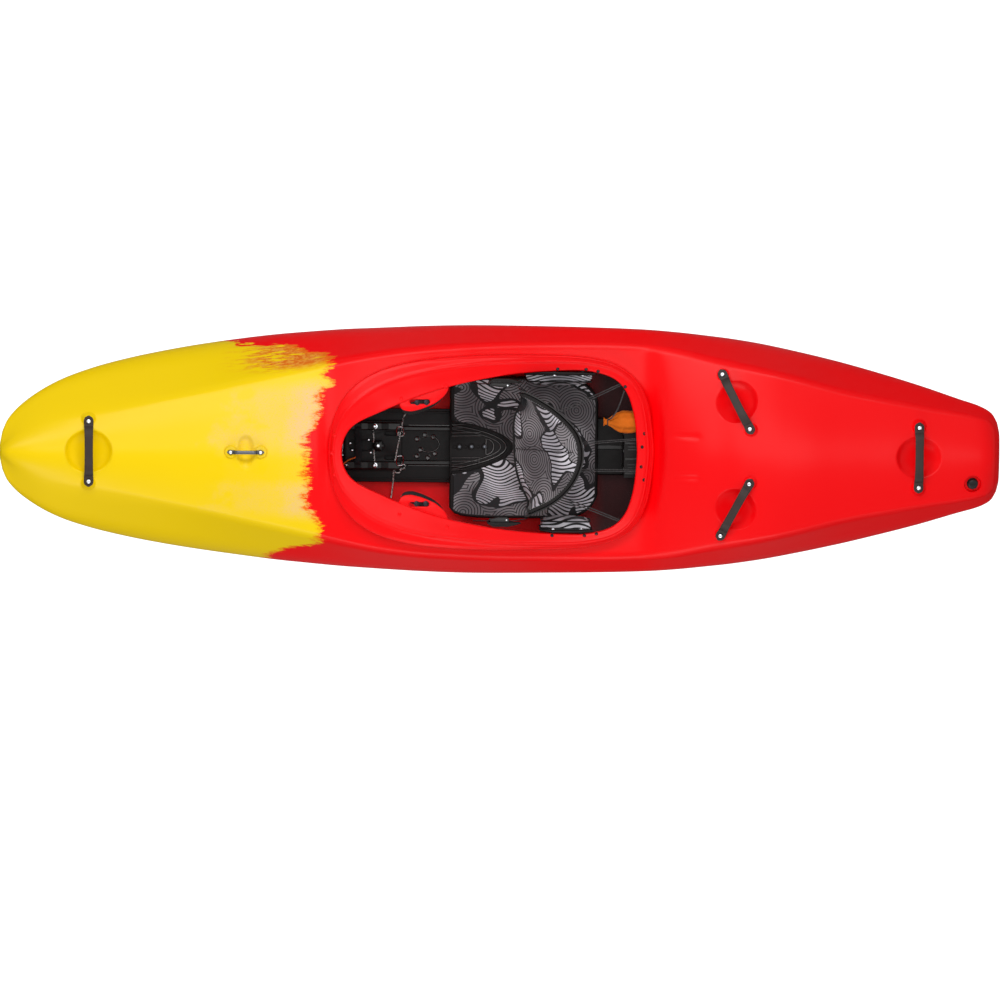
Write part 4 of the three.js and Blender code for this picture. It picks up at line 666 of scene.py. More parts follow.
# Two moulded colours that meet in a brushed, ragged edge ahead of the cockpit
def hull_material():
    s = Shader("hull_plastic", "hull_plastic")
    x, y, z = s.xyz()
    side = s.table(z, SIDE_EDGE)
    deck = s.table(y, DECK_EDGE)
    keel = s.table(y, KEEL_EDGE)
    on_deck = s.ramp(z, 0.318, 0.35)
    on_side = s.ramp(z, 0.012, 0.05)
    starboard, port = s.ramp(y, 0.1, 0.2), s.ramp(y, -0.1, -0.2)
    wander = s.swing(s.drawn((14, 40, 40), 4, 0.6), 0.09)
    level = s.minus(s.plus(z, wander), s.times(s.plus(x, 0.7), 0.12))
    star_low = s.times(starboard, s.times(s.ramp(level, 0.225, 0.18), s.ramp(z, 0.03, 0.12)))
    star_high = s.times(starboard, s.ramp(level, 0.185, 0.23))
    port_high = s.times(port, s.ramp(z, 0.1, 0.2))
    side = s.minus(side, s.times(star_low, 0.1))
    side = s.plus(side, s.plus(s.times(star_high, 0.05), s.times(port_high, 0.02)))
    lower = s.plus(keel, s.times(s.minus(side, keel), on_side))
    edge = s.plus(lower, s.times(s.minus(deck, lower), on_deck))
    long = s.drawn((7, 60, 75), 6, 0.68)
    broad = s.drawn((3, 14, 16), 2, 0.5)
    fine = s.noise(s.place, 900, 2, 0.6)
    ragged = s.plus(s.swing(long, 0.1), s.plus(s.swing(broad, 0.05), s.swing(fine, 0.03)))
    past = s.minus(s.plus(x, ragged), edge)
    red_part = s.ramp(past, -0.004, 0.004)
    mottle = s.ramp(s.drawn((60, 150, 150), 4, 0.7), 0.46, 0.56)
    orange_part = s.times(s.ramp(past, -0.026, -0.008), s.plus(0.25, s.times(mottle, 0.75)))
    gun_mask = s.times(s.ramp(y, 0.205, 0.24), s.ramp(z, 0.33, 0.3))
    gun_run = s.times(s.ramp(x, -0.8, -0.62), gun_mask)
    brush_height = s.drawn((6, 110, 150), 5, 0.68)
    brushed = s.ramp(s.plus(brush_height, s.times(s.ramp(x, -0.76, -0.5), 0.14)), 0.5, 0.58)
    near = s.minus(x, s.times(y, 0.1))
    blobs = s.noise(s.place, 16, 3, 0.55)
    haze_run = s.ramp(s.plus(near, s.times(blobs, 0.12)), -0.6, -0.47)
    far_run = s.times(s.ramp(s.plus(near, s.times(blobs, 0.5)), -0.56, -0.42), 0.35)
    haze_side = s.plus(0.12, s.times(s.ramp(y, -0.03, 0.05), 0.88))
    port_patch = s.times(s.ramp(y, -0.22, -0.16), s.ramp(y, -0.06, -0.11))
    haze_side = s.math("MAXIMUM", haze_side, s.times(port_patch, 0.7))
    inside = s.times(s.ramp(s.math("ABSOLUTE", y), 0.235, 0.2), s.ramp(z, 0.325, 0.34))
    grain = s.ramp(s.noise(s.place, 230, 5, 0.85), 0.36, 0.52)
    haze = s.times(s.math("MAXIMUM", haze_run, far_run), s.times(haze_side, s.times(inside, grain)))
    colour = s.mix(s.times(haze, 0.95), YELLOW, PEACH)
    streaks = s.times(gun_run, brushed)
    streak_tone = s.mix(mottle, linear(228, 92, 22), linear(238, 150, 60))
    colour = s.mix(s.times(streaks, 0.9), colour, streak_tone)
    colour = s.mix(orange_part, colour, ORANGE)
    colour = s.mix(red_part, colour, RED)
    tint = s.noise(s.place, 9, 3, 0.5)
    colour = s.mix(s.times(tint, 0.1), colour, s.mix(1.0, colour, linear(236, 226, 220), "MULTIPLY"))
    peel = s.noise(s.place, 160, 2, 0.5)
    scuff = s.drawn((40, 220, 220), 3, 0.6)
    rough = s.plus(0.27, s.times(scuff, 0.09))
    normal = s.bump(peel, 0.06, 0.0006)
    normal = s.bump(s.noise(s.place, 1400, 2, 0.5), 0.05, 0.0002, normal)
    s.set(Base_Color=colour, Roughness=rough, Normal=normal, Specular_IOR_Level=0.12, Coat_Weight=0.1,
          Coat_Roughness=0.28)
    return s.mat


def plastic(name, slot, rgb, rough=0.42, grain=900, depth=0.12, mottle=0.25, shine=0.16):
    s = Shader(name, slot)
    base = linear(*rgb)
    lighter = toned(base, 1.6, 0.006)
    cloud = s.noise(s.place, 26, 4, 0.6)
    colour = s.mix(s.times(s.ramp(cloud, 0.35, 0.75), mottle), base, lighter)
    wear = s.noise(s.place, 70, 3, 0.6)
    roughness = s.plus(rough - 0.06, s.times(wear, 0.14))
    normal = s.bump(s.noise(s.place, grain, 2, 0.6), depth, 0.0004)
    s.set(Base_Color=colour, Roughness=roughness, Normal=normal, Specular_IOR_Level=shine)
    return s.mat


def metal(name, slot, rgb, rough=0.25):
    s = Shader(name, slot)
    base = linear(*rgb)
    brushed = s.drawn((300, 2400, 2400), 3, 0.5)
    roughness = s.plus(rough - 0.05, s.times(brushed, 0.12))
    colour = s.mix(s.times(s.noise(s.place, 60, 3, 0.6), 0.3), base, toned(base, 0.75))
    s.set(Base_Color=colour, Roughness=roughness, Metallic=1.0, Normal=s.bump(brushed, 0.04, 0.0002))
    return s.mat


def foam_material():
    s = Shader("foam", "foam")
    cells = s.node("ShaderNodeTexVoronoi")
    s.put(cells.inputs["Vector"], s.place)
    s.put(cells.inputs["Scale"], 520.0)
    shade = s.noise(s.place, 60, 4, 0.6)
    colour = s.mix(s.ramp(shade, 0.3, 0.8), linear(26, 26, 28), linear(46, 46, 49))
    s.set(Base_Color=colour, Roughness=0.85, Normal=s.bump(cells.outputs[0], 0.5, 0.0008), Sheen_Weight=0.15)
    return s.mat


# Printed cloth: discs of fine rings and runs of wavy stripes on black, woven finely
def print_material(name, seed=0.0, more_stripes=0.0):
    s = Shader(name, "printed_fabric")
    x, y, z = s.xyz()
    drop = s.times(z, 0.35)
    flat = s.join(s.plus(x, s.plus(drop, seed)), s.plus(y, seed), 0.0)
    cells = s.node("ShaderNodeTexVoronoi", voronoi_dimensions="2D")
    s.put(cells.inputs["Vector"], flat)
    s.put(cells.inputs["Scale"], 10.5)
    s.put(cells.inputs["Randomness"], 0.9)
    ring_band = s.math("PINGPONG", s.times(cells.outputs["Distance"], 13.0), 0.5)
    ring_mask = s.ramp(ring_band, 0.13, 0.21)
    ring_tone = s.mix(s.ramp(s.noise(flat, 7.0, 1, 0.5), 0.42, 0.6), linear(112, 106, 110),
                      linear(158, 153, 157))
    rings = s.mix(ring_mask, linear(20, 16, 19), ring_tone)
    bend = s.noise(flat, 5.5, 1.0, 0.4)
    curl = s.noise(s.scaled(flat, (3.0, 9.0, 1.0)), 1.0, 1.5, 0.45)
    run = s.plus(y, s.plus(s.times(bend, 0.2), s.times(curl, 0.09)))
    stripe_band = s.math("PINGPONG", s.times(run, 88.0), 0.5)
    width = s.plus(0.1, s.times(s.noise(flat, 13.0, 1, 0.5), 0.16))
    stripe_mask = s.ramp(s.minus(stripe_band, width), 0.0, 0.06)
    stripe_tone = s.mix(s.ramp(s.noise(flat, 9.0, 1, 0.5), 0.35, 0.6), linear(180, 176, 184),
                        linear(238, 234, 242))
    stripes = s.mix(stripe_mask, linear(18, 15, 18), stripe_tone)
    field = s.plus(s.noise(flat, 7.5, 1.2, 0.4, 0.6), more_stripes)
    part = s.ramp(field, 0.505, 0.512)
    border = s.minus(s.ramp(field, 0.488, 0.492), s.ramp(field, 0.52, 0.524))
    colour = s.mix(part, rings, stripes)
    colour = s.mix(border, colour, linear(18, 15, 18))
    threads = s.times(s.bands("X", 250.0), s.bands("Y", 250.0))
    colour = s.mix(s.times(s.minus(1.0, threads), 0.2), colour, linear(10, 9, 10))
    s.set(Base_Color=colour, Roughness=0.7, Normal=s.bump(threads, 0.35, 0.0003), Sheen_Weight=0.1,
          Specular_IOR_Level=0.3)
    return s.mat


def cloth_material(name, slot, rgb, rough=0.8, weave=260.0):
    s = Shader(name, slot)
    base = linear(*rgb)
    threads = s.bands("DIAGONAL", weave)
    shade = s.noise(s.place, 40, 3, 0.6)
    darker = toned(base, 0.55)
    colour = s.mix(s.times(shade, 0.5), base, darker)
    colour = s.mix(s.times(threads, 0.2), colour, darker)
    s.set(Base_Color=colour, Roughness=rough, Normal=s.bump(threads, 0.4, 0.0003), Sheen_Weight=0.05,
          Specular_IOR_Level=0.25)
    return s.mat


# Braided cord: dark sheath with light flecks that wind round it
def cord_material(name, rgb=(20, 20, 22), fleck=(220, 220, 218), share=0.62):
    s = Shader(name, "cord")
    x, y, z = s.xyz()
    winding = s.plus(s.times(s.plus(x, y), 420.0), s.times(z, 900.0))
    counter = s.minus(s.times(s.minus(x, y), 420.0), s.times(z, 900.0))
    one = s.math("PINGPONG", winding, 0.5)
    two = s.math("PINGPONG", counter, 0.5)
    over = s.math("MAXIMUM", one, two)
    flecks = s.ramp(s.plus(s.times(one, two), s.noise(s.place, 300, 2, 0.5)), share, share + 0.06)
    colour = s.mix(flecks, linear(*rgb), linear(*fleck))
    s.set(Base_Color=colour, Roughness=0.7, Normal=s.bump(over, 0.5, 0.0004), Sheen_Weight=0.15)
    return s.mat


# Inside of the hull: the same red plastic, dusty, with painted shade that darkens it towards the stern
def lining_material():
    s = Shader("hull_lining_plastic", "hull_plastic")
    # Painted shade: this ramp darkens the lining to a dark maroon towards the stern, where the deck shades
    # the inside
    rear = s.ramp(s.xyz()[0], 0.15, 0.3)
    dust = s.ramp(s.noise(s.place, 36, 5, 0.65), 0.35, 0.8)
    colour = s.mix(rear, linear(255, 6, 18), linear(58, 2, 8))
    colour = s.mix(s.times(dust, 0.12), colour, linear(96, 6, 14))
    grit = s.ramp(s.noise(s.place, 700, 2, 0.6), 0.66, 0.72)
    colour = s.mix(s.times(grit, 0.35), colour, linear(210, 150, 150))
    s.set(Base_Color=colour, Roughness=0.5, Normal=s.bump(s.noise(s.place, 180, 2, 0.5), 0.1, 0.0006),
          Specular_IOR_Level=0.2)
    return s.mat


HULL = hull_material()
LINING = lining_material()
BLACK = plastic("black_plastic", "black_plastic", (12, 6, 6), 0.42)
SATIN = plastic("satin_plastic", "black_plastic", (13, 8, 8), 0.3, 600, 0.08, 0.25, 0.3)
# Glossy trim plastic for small beads, ribs and dimples: the gloss is the real finish, but its base colour is
# lighter than the black plastic as a painted highlight on these raised parts
GLOSS_HIGHLIT = plastic("gloss_highlit_plastic", "black_plastic", (30, 22, 22), 0.22, 500, 0.05, 0.2, 0.7)
RUBBER = plastic("handle_rubber", "handle_rubber", (56, 46, 44), 0.42, 1300, 0.25)
SEAL = plastic("seal_rubber", "seal_rubber", (20, 20, 20), 0.6, 1100, 0.2)
STEEL = metal("steel", "steel", (205, 207, 212), 0.2)
BAR_STEEL = metal("bar_steel", "steel", (92, 94, 100), 0.3)
BOLT = metal("black_bolt", "black_bolt", (48, 48, 52), 0.35)
FOAM = foam_material()
PRINT = print_material("printed_fabric")
PRINT_BACK = print_material("printed_fabric_back", 0.37)
PRINT_SIDE = print_material("printed_fabric_side", 0.91, 0.25)
STITCH = cloth_material("stitch_thread", "printed_fabric", (150, 150, 150), 0.7)
BINDING = cloth_material("binding_cloth", "printed_fabric", (17, 13, 13), 0.75)
WEBBING = cloth_material("webbing", "cord", (30, 30, 33), 0.7, 420.0)
CORD = cord_material("cord", (22, 20, 21), (64, 60, 62), 0.6)
FLECK_CORD = cord_material("flecked_cord", (30, 30, 32), (235, 235, 232), 0.5)
ORANGE_CORD = cord_material("orange_cord", (214, 92, 20), (250, 190, 60), 0.6)
BAG = cloth_material("yellow_fabric", "yellow_fabric", (228, 112, 4), 0.72, 340.0)


# Hull shell
def station_list(count, low=0.0, high=1.0):
    result = []
    for k in range(count + 1):
        t = k / count
        result.append(low + (high - low) * (0.55 * t + 0.45 * (1 - math.cos(math.pi * t)) / 2))
    return result


def outline_points(table, front, length, width, count):
    fine = 1200
    rough = []
    for i in range(fine + 1):
        share = (1 - math.cos(math.pi * i / fine)) / 2
        rough.append(Vector((front + share * length, read_shares(table, share) * width / 2)))
    runs = [0.0]
    for a, b in zip(rough, rough[1:]):
        runs.append(runs[-1] + (b - a).length)
    half, k = [], 0
    for i in range(count + 1):
        target = runs[-1] * i / count
        while k < fine - 1 and runs[k + 1] < target:
            k += 1
        half.append(rough[k].lerp(rough[k + 1], (target - runs[k]) / (runs[k + 1] - runs[k])))
    return half + [Vector((p.x, -p.y)) for p in reversed(half[1:-1])]


def smooth_loop(points, rounds=2):
    for _ in range(rounds):
        count = len(points)
        points = [(points[i - 1] + points[i] * 2 + points[(i + 1) % count]) / 4 for i in range(count)]
    return points


COAMING_STEPS = 96
opening = smooth_loop(outline_points(OPENING_SHARES, OPENING_FRONT, OPENING_LENGTH, OPENING_WIDTH,
                                     COAMING_STEPS), 6)
ridge = smooth_loop(outline_points(RIDGE_SHARES, COAMING_FRONT, COAMING_LENGTH, COAMING_WIDTH, COAMING_STEPS),
                    6)
across = [(outer - inner).normalized() for inner, outer in zip(opening, ridge)]


def inside_ridge(distance):
    return [outer - turn * distance for outer, turn in zip(ridge, across)]


def cutter(name, verts, faces):
    mesh = bpy.data.meshes.new(name)
    mesh.from_pydata([(x * MM, y * MM, z * MM) for x, y, z in verts], [], faces)
    finish_mesh(mesh)
    mesh.materials.append(HULL)
    mesh.materials.append(BLACK)
    for face in mesh.polygons:
        face.material_index = 1
    return add_object(name, mesh)


# Cuts an object by others, then drops the faces that the cutters leave behind
def cut_open(obj, cutters):
    obj.data.materials.append(BLACK)
    for item in cutters:
        mod = obj.modifiers.new("Cut", "BOOLEAN")
        mod.operation = "DIFFERENCE"
        mod.solver = "EXACT"
        mod.object = item
    graph = bpy.context.evaluated_depsgraph_get()
    mesh = bpy.data.meshes.new_from_object(obj.evaluated_get(graph))
    obj.modifiers.clear()
    bm = bmesh.new()
    bm.from_mesh(mesh)
    bmesh.ops.delete(bm, geom=[f for f in bm.faces if f.material_index == 1], context="FACES")
    for face in bm.faces:
        face.smooth = True
    for edge in bm.edges:
        edge.smooth = True
    bm.to_mesh(mesh)
    bm.free()
    while len(mesh.materials) > 1:
        mesh.materials.pop(index=len(mesh.materials) - 1)
    obj.data = mesh
    for item in cutters:
        bpy.data.objects.remove(item, do_unlink=True)


class Surface:
    def __init__(self, verts, faces):
        mesh = bpy.data.meshes.new("surface")
        mesh.from_pydata(verts, [], faces)
        bm = bmesh.new()
        bm.from_mesh(mesh)
        bmesh.ops.recalc_face_normals(bm, faces=bm.faces)
        bmesh.ops.triangulate(bm, faces=bm.faces)
        bm.normal_update()
        self.tree = BVHTree.FromBMesh(bm)
        self.points = [v.co.copy() for v in bm.verts]
        self.normals = [v.normal.copy() for v in bm.verts]
        self.tris = [[v.index for v in f.verts] for f in bm.faces]
        bm.free()
        bpy.data.meshes.remove(mesh)

    def normal_at(self, point):
        spot, _, index, _ = self.tree.find_nearest(point)
        a, b, c = self.tris[index]
        pa, pb, pc = self.points[a], self.points[b], self.points[c]
        total = (pb - pa).cross(pc - pa).length or 1
        wa = (pb - spot).cross(pc - spot).length / total
        wb = (pc - spot).cross(pa - spot).length / total
        wc = max(1 - wa - wb, 0)
        return (self.normals[a] * wa + self.normals[b] * wb + self.normals[c] * wc).normalized()

    def height(self, matrix, x, y, reach=90):
        start = matrix @ Vector((x, y, reach))
        down = -(matrix.to_3x3() @ Vector((0, 0, 1)))
        hit = self.tree.ray_cast(start, down)
        if hit[0] is None:
            return -reach
        return (matrix.inverted() @ hit[0]).z


SLOT_FRONT, SLOT_RUN, SLOT_BACK, SLOT_STEP, SLOT_DEPTH = 452, 78, 548, 5, 5.2
SLOTS = ((48, 9), (-66, 8))


# Two shallow slots in the rear deck, sharp at the stern end
def notched(point):
    x, y, z = point
    if SLOT_FRONT < x < SLOT_BACK and z > HULL_HEIGHT / 2:
        along = min((x - SLOT_FRONT) / SLOT_RUN, 1) * min((SLOT_BACK - x) / SLOT_STEP, 1)
        for middle, half in SLOTS:
            across = min(max((y - middle + half) / (2 * half), 0), 1)
            z -= SLOT_DEPTH * along * min(across * 1.2, (1 - across) * 6, 1)
    return (x, y, z)


outer_verts, outer_faces = loft(hull_rings(station_list(300), crown_steps=36))
outer_verts = [notched(p) for p in outer_verts]
skin = Surface(outer_verts, outer_faces)

FITTINGS = {
    "bow_grab_handle": ((-1128, 0, 388.12), (0, 1, 0), (0.1215, 0, 0.9926), "handle"),
    "stern_grab_handle": ((1146, 0, 365.71), (0, 1, 0), (0.0104, 0, 0.99995), "handle"),
    "starboard_rear_handle": ((645, 148, 347.22), (0.4371, -0.8588, 0.2671), (-0.2339, 0.1782, 0.9558),
                              "handle"),
    "port_rear_handle": ((645, -148, 347.22), (0.4371, 0.8588, 0.2671), (-0.2339, -0.1782, 0.9558), "handle"),
    "bow_safety_bar": ((-699, 0, 375.84), (0.99986, 0, -0.0168), (0.0168, 0, 0.99986), "bar"),
}
FRAMES = {name: frame_from(o, x, z) for name, (o, x, z, _) in FITTINGS.items()}
RECESS = {"handle": (58, 60, 29), "bar": (26, 54, 25)}
DRAIN = frame_from((1296, -72, 356.635), (1, 0, 0), (0.105449, -0.249576, 0.962597))
PIT_OUT = 1.16
PIT_SIDES = 96
DRAIN_RADIUS = 24
DRAIN_FLOOR = 9
COCKPIT_CUT = (150, 480)
RECESS_CUT = (-70, 50)
DRAIN_CUT = (-30, 30)


def ellipse(rx, ry):
    turns = [2 * math.pi * k / PIT_SIDES for k in range(PIT_SIDES)]
    return [(rx * math.cos(turn), ry * math.sin(turn)) for turn in turns]


def soft_min(a, b, reach):
    h = max(reach - abs(a - b), 0) / reach
    return min(a, b) - h * h * reach / 4


# Recess below the hull's surface: a polar net that meets the cut edge and dips to a floor
def pit(name, matrix, rx, ry, floor, reach):
    shares = [PIT_OUT, 1.12, 1.09, 1.06, 1.04, 1.025, 1.01, 1.0, 0.99, 0.98, 0.97, 0.96, 0.95, 0.935, 0.92,
              0.9,
              0.88, 0.85, 0.81, 0.76, 0.7, 0.62, 0.54, 0.45, 0.36, 0.27, 0.18, 0.09]
    flush_rows = 2
    verts = []
    for row, share in enumerate(shares):
        for x, y in ellipse(rx * share, ry * share):
            surface = skin.height(matrix, x, y)
            low = floor(share)
            z = surface if low is None or row < flush_rows else soft_min(surface, low, reach)
            verts.append(tuple(matrix @ Vector((x, y, z))))
    verts.append(tuple(matrix @ Vector((0, 0, min(floor(0), 0)))))
    middle = len(verts) - 1
    last = middle - PIT_SIDES
    faces = tube_faces(len(shares), PIT_SIDES, caps=False)
    faces += [(last + k, last + (k + 1) % PIT_SIDES, middle) for k in range(PIT_SIDES)]
    obj = make_object(name, verts, faces, HULL, smooth=180)
    up = matrix.to_3x3() @ Vector((0, 0, 1))
    mesh = obj.data
    if sum(f.normal.dot(up) for f in mesh.polygons) < 0:
        mesh.flip_normals()
    blended = [Vector(item.vector) for item in mesh.vertex_normals]
    for i in range(3 * PIT_SIDES):
        blended[i] = skin.normal_at(Vector(verts[i]))
    mesh.normals_split_custom_set_from_vertices(blended)


def bowl(depth):
    def floor(share):
        if share >= 1:
            return depth * 2.2 * (share - 1)
        return -depth * (1 - share * share) ** 0.75
    return floor


def drain_floor(share):
    if share >= 1:
        return None
    wall = max((share - 0.86) / 0.14, 0)
    return 12 * wall ** 3 - DRAIN_FLOOR


# Tools that open the hull's skin or its lining at the cockpit, the finger recesses and the drain
def shell_cutters(label, widen, drain_radius):
    mouth = inside_ridge(LIP_OVERHANG + HULL_WALL / 2)
    tools = [cutter(label + "cockpit", *prism_data(mouth, *COCKPIT_CUT))]
    for name, (_, _, _, kind) in FITTINGS.items():
        rx, ry, _ = RECESS[kind]
        tools.append(cutter(label + name, *prism_data(ellipse(rx * widen, ry * widen), *RECESS_CUT,
                                                      FRAMES[name])))
    hole = ellipse(drain_radius, drain_radius)
    tools.append(cutter(label + "drain", *prism_data(hole, *DRAIN_CUT, DRAIN)))
    return tools


def make_shell():
    hull = make_object("hull_skin", outer_verts, outer_faces, HULL, smooth=180)
    cut_open(hull, shell_cutters("cut_", PIT_OUT, DRAIN_RADIUS * PIT_OUT))
    mesh = hull.data
    mesh.normals_split_custom_set_from_vertices([skin.normal_at(Vector(v.co) / MM) for v in mesh.vertices])
    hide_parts("hull_shell")
    for name, (_, _, _, kind) in FITTINGS.items():
        rx, ry, depth = RECESS[kind]
        pit(name + "_recess", FRAMES[name], rx, ry, bowl(depth), 7)
    pit("drain_recess", DRAIN, DRAIN_RADIUS, DRAIN_RADIUS, drain_floor, 2.5)
    inner_rings = hull_rings(station_list(150, 0.03, 0.965), HULL_WALL, corner_steps=6, runs=(5, 2, 4, 5),
                             crown_steps=8)
    lining = make_object("hull_lining", *loft(inner_rings), LINING, smooth=180)
    cut_open(lining, shell_cutters("cut_inner_", 1.1, DRAIN_RADIUS + 1))
    lining.data.flip_normals()


CREST_SHARE, BEAD_WIDTH, BEAD_RISE = 0.64, 4.2, 3.2
INNER_FALL, OUTER_FALL, RIM_SINK = 5.5, 7.0, 0.4


# Height across the coaming: low at the opening, a bead most of the way out, falling to the lip
def rim_shape(distance, span):
    crest = span * CREST_SHARE
    bead = math.exp(-((distance - crest) / BEAD_WIDTH) ** 2)
    rise = min(distance / crest, 1)
    inner = -INNER_FALL * (1 - rise * rise * (3 - 2 * rise))
    outer = -OUTER_FALL * max((distance - crest) / (span - crest), 0) ** 1.4
    return inner + outer + BEAD_RISE * bead - RIM_SINK


# Coaming: profile across from the opening's turned-down edge to the rolled lip and down to the deck
def make_coaming():
    sections = []
    for inner, outer, turn in zip(opening, ridge, across):
        span = (outer - inner).length
        inner_top, outer_top = rim_top(inner.x), rim_top(outer.x)
        skin_low = outer_top - COAMING_DROP - HULL_WALL
        r = LIP_ROUND
        profile = [(0, inner_top - EDGE_DEPTH), (0, inner_top - EDGE_DEPTH * 0.6)]
        low = rim_shape(0, span)
        profile += [(r - r * math.cos(a),
                     inner_top + low - r + r * math.sin(a)) for a in np.radians(np.linspace(0, 90, 7))]
        rest = span - 2 * r
        for k in range(1, 22):
            u = k / 22
            d = r + rest * u
            profile.append((d, inner_top + (outer_top - inner_top) * u + rim_shape(d, span)))
        fall = rim_shape(span, span)
        profile += [(span - r + r * math.sin(a),
                     outer_top + fall - r + r * math.cos(a)) for a in np.radians(np.linspace(0, 90, 7))]
        bottom = outer_top - LIP_DEPTH
        profile += [(span, bottom + 5), (span - 0.6, bottom + 1.6), (span - 2, bottom + 0.4),
                    (span - 3.5, bottom)]
        profile += [(span - LIP_OVERHANG + 3, bottom), (span - LIP_OVERHANG + 0.8, bottom - 0.8),
                    (span - LIP_OVERHANG, bottom - 3)]
        profile += [(span - LIP_OVERHANG, skin_low + 8), (span - LIP_OVERHANG + 2, skin_low + 3),
                    (span - LIP_OVERHANG + 6, skin_low)]
        wall = span - LIP_OVERHANG - HULL_WALL
        profile += [(wall, skin_low), (wall, outer_top - HULL_WALL - 3), (wall - 2, outer_top - HULL_WALL)]
        profile += [(HULL_WALL, inner_top - HULL_WALL - 3), (HULL_WALL, inner_top - EDGE_DEPTH)]
        sections.append([(inner.x + turn.x * d, inner.y + turn.y * d, h) for d, h in profile])
    verts, faces = loop_faces(sections)
    make_object("coaming", verts, faces, HULL, smooth=50)


def counterclockwise(points):
    area = sum(a[0] * b[1] - b[0] * a[1] for a, b in zip(points, points[1:] + points[:1]))
    return points if area > 0 else points[::-1]


# Flat plate from closed outlines (the later ones are holes) with rounded edges
def plate(name, outlines, low, high, mat, body="kayak", matrix=None, edge=1.0, resolution=2):
    curve = bpy.data.curves.new(name + "_outline", "CURVE")
    curve.dimensions = "2D"
    curve.fill_mode = "BOTH"
    for points in outlines:
        points = counterclockwise(points)
        spline = curve.splines.new("POLY")
        spline.points.add(len(points) - 1)
        for point, (x, y) in zip(spline.points, points):
            point.co = (x, y, 0, 1)
        spline.use_cyclic_u = True
    curve.extrude = max((high - low) / 2 - edge, 0.01)
    curve.bevel_depth = edge
    curve.bevel_resolution = resolution
    curve.offset = -edge
    holder = add_object(name + "_outline", curve)
    graph = bpy.context.evaluated_depsgraph_get()
    mesh = bpy.data.meshes.new_from_object(holder.evaluated_get(graph))
    bpy.data.objects.remove(holder, do_unlink=True)
    bpy.data.curves.remove(curve)
    shift = Matrix.Translation((0, 0, (low + high) / 2))
    mesh.transform(Matrix.Scale(MM, 4) @ ((matrix or Matrix.Identity(4)) @ shift))
    mesh.name = name
    obj = add_object(name, mesh)
    finish_mesh(mesh, 40, merge=0.00001)
    mesh.materials.clear()
    mesh.materials.append(mat)
    attach(obj, body)
    return obj


HOOK_X, HOOK_LENGTH, HOOK_DROP, HOOK_WALL, HOOK_REACH, HOOK_ROOT = -280, 140, 11, 8, 42, 4
hook_slope = math.atan((rim_top(HOOK_X) - rim_top(HOOK_X + HOOK_LENGTH)) / HOOK_LENGTH)
HOOK = Matrix.Translation((HOOK_X, 0, rim_top(HOOK_X) - HOOK_DROP)) @ Matrix.Rotation(hook_slope, 4, "Y")


def stadium(x, y, length, width, steps=10):
    points = []
    for end in (1, -1):
        for k in range(steps + 1):
            turn = math.pi * k / steps - end * math.pi / 2
            points.append((x + end * length / 2 + math.cos(turn) * width / 2, y + math.sin(turn) * width / 2))
    return points


def make_hooks():
    outline = []
    steps = 40
    for k in range(steps + 1):
        u = k / steps
        along = HOOK_LENGTH * u
        reach = read_shares(HOOK_SHARES, u) * HOOK_REACH
        outline.append((along, -(half_opening(HOOK_X + along) + HOOK_ROOT - reach)))
    for k in range(1, 8):
        along = HOOK_LENGTH * (1 - k / 8)
        outline.append((along, -(half_opening(HOOK_X + along) + HOOK_ROOT)))
    port = plate("port_hook", [outline, stadium(58, -141, 44, 12)], -HOOK_WALL, 0, HULL, matrix=HOOK,
                 edge=2.6)
    verts = [(v.co.x, -v.co.y, v.co.z) for v in port.data.vertices]
    faces = [tuple(reversed(f.vertices)) for f in port.data.polygons]
    make_object("starboard_hook", verts, faces, HULL, smooth=40, scale=1)


make_shell()
make_coaming()
make_hooks()


# Deck fittings
HANDLE = {"width": 27, "pad": 30, "thick": 5, "rise": 19, "shoulder": 17, "spacing": 165, "head": 6}
BAR = {"width": 12, "pad": 20, "thick": 5, "rise": 15, "shoulder": 6, "spacing": 82, "head": 5.4}


def strap_line(sizes, steps=14):
    half, pad = sizes["spacing"] / 2, sizes["pad"] / 2
    foot, low, high = half - pad, 0.3 + sizes["thick"] / 2, sizes["rise"] - sizes["thick"] / 2
    reach = sizes["shoulder"]
    left = [(-half - pad, 0, low), (-half, 0, low), (-foot - 2, 0, low)]
    curve = []
    for k in range(1, steps + 1):
        u = k / steps
        a = lerp((-foot, low), (-foot + reach / 2, high), u)
        b = lerp((-foot + reach / 2, high), (-foot + reach * 2, high), u)
        p = lerp(a, b, u)
        curve.append((p[0], 0, p[1]))
    points = left + curve
    return points + [(-x, y, z) for x, y, z in reversed(points)]


# Domed screw head with a six-sided socket
def screw_head(name, matrix, radius, height, mat, body="kayak", node=None):
    profile = [(0, -1.5), (radius, -1.5), (radius, height * 0.35)]
    socket = radius * 0.42
    for k in range(1, 10):
        turn = math.pi / 2 * k / 9
        reach = radius * math.cos(turn)
        if reach < socket:
            break
        profile.append((reach, height * 0.35 + height * 0.65 * math.sin(turn)))
    top = profile[-1][1]
    profile += [(socket, top + 0.05), (socket * 0.96, top - 0.4), (socket * 0.94, top - height * 0.6),
                (0, top - height * 0.62)]
    obj = lathe(name, profile, mat, body, matrix, 36)
    if node:
        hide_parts(node)


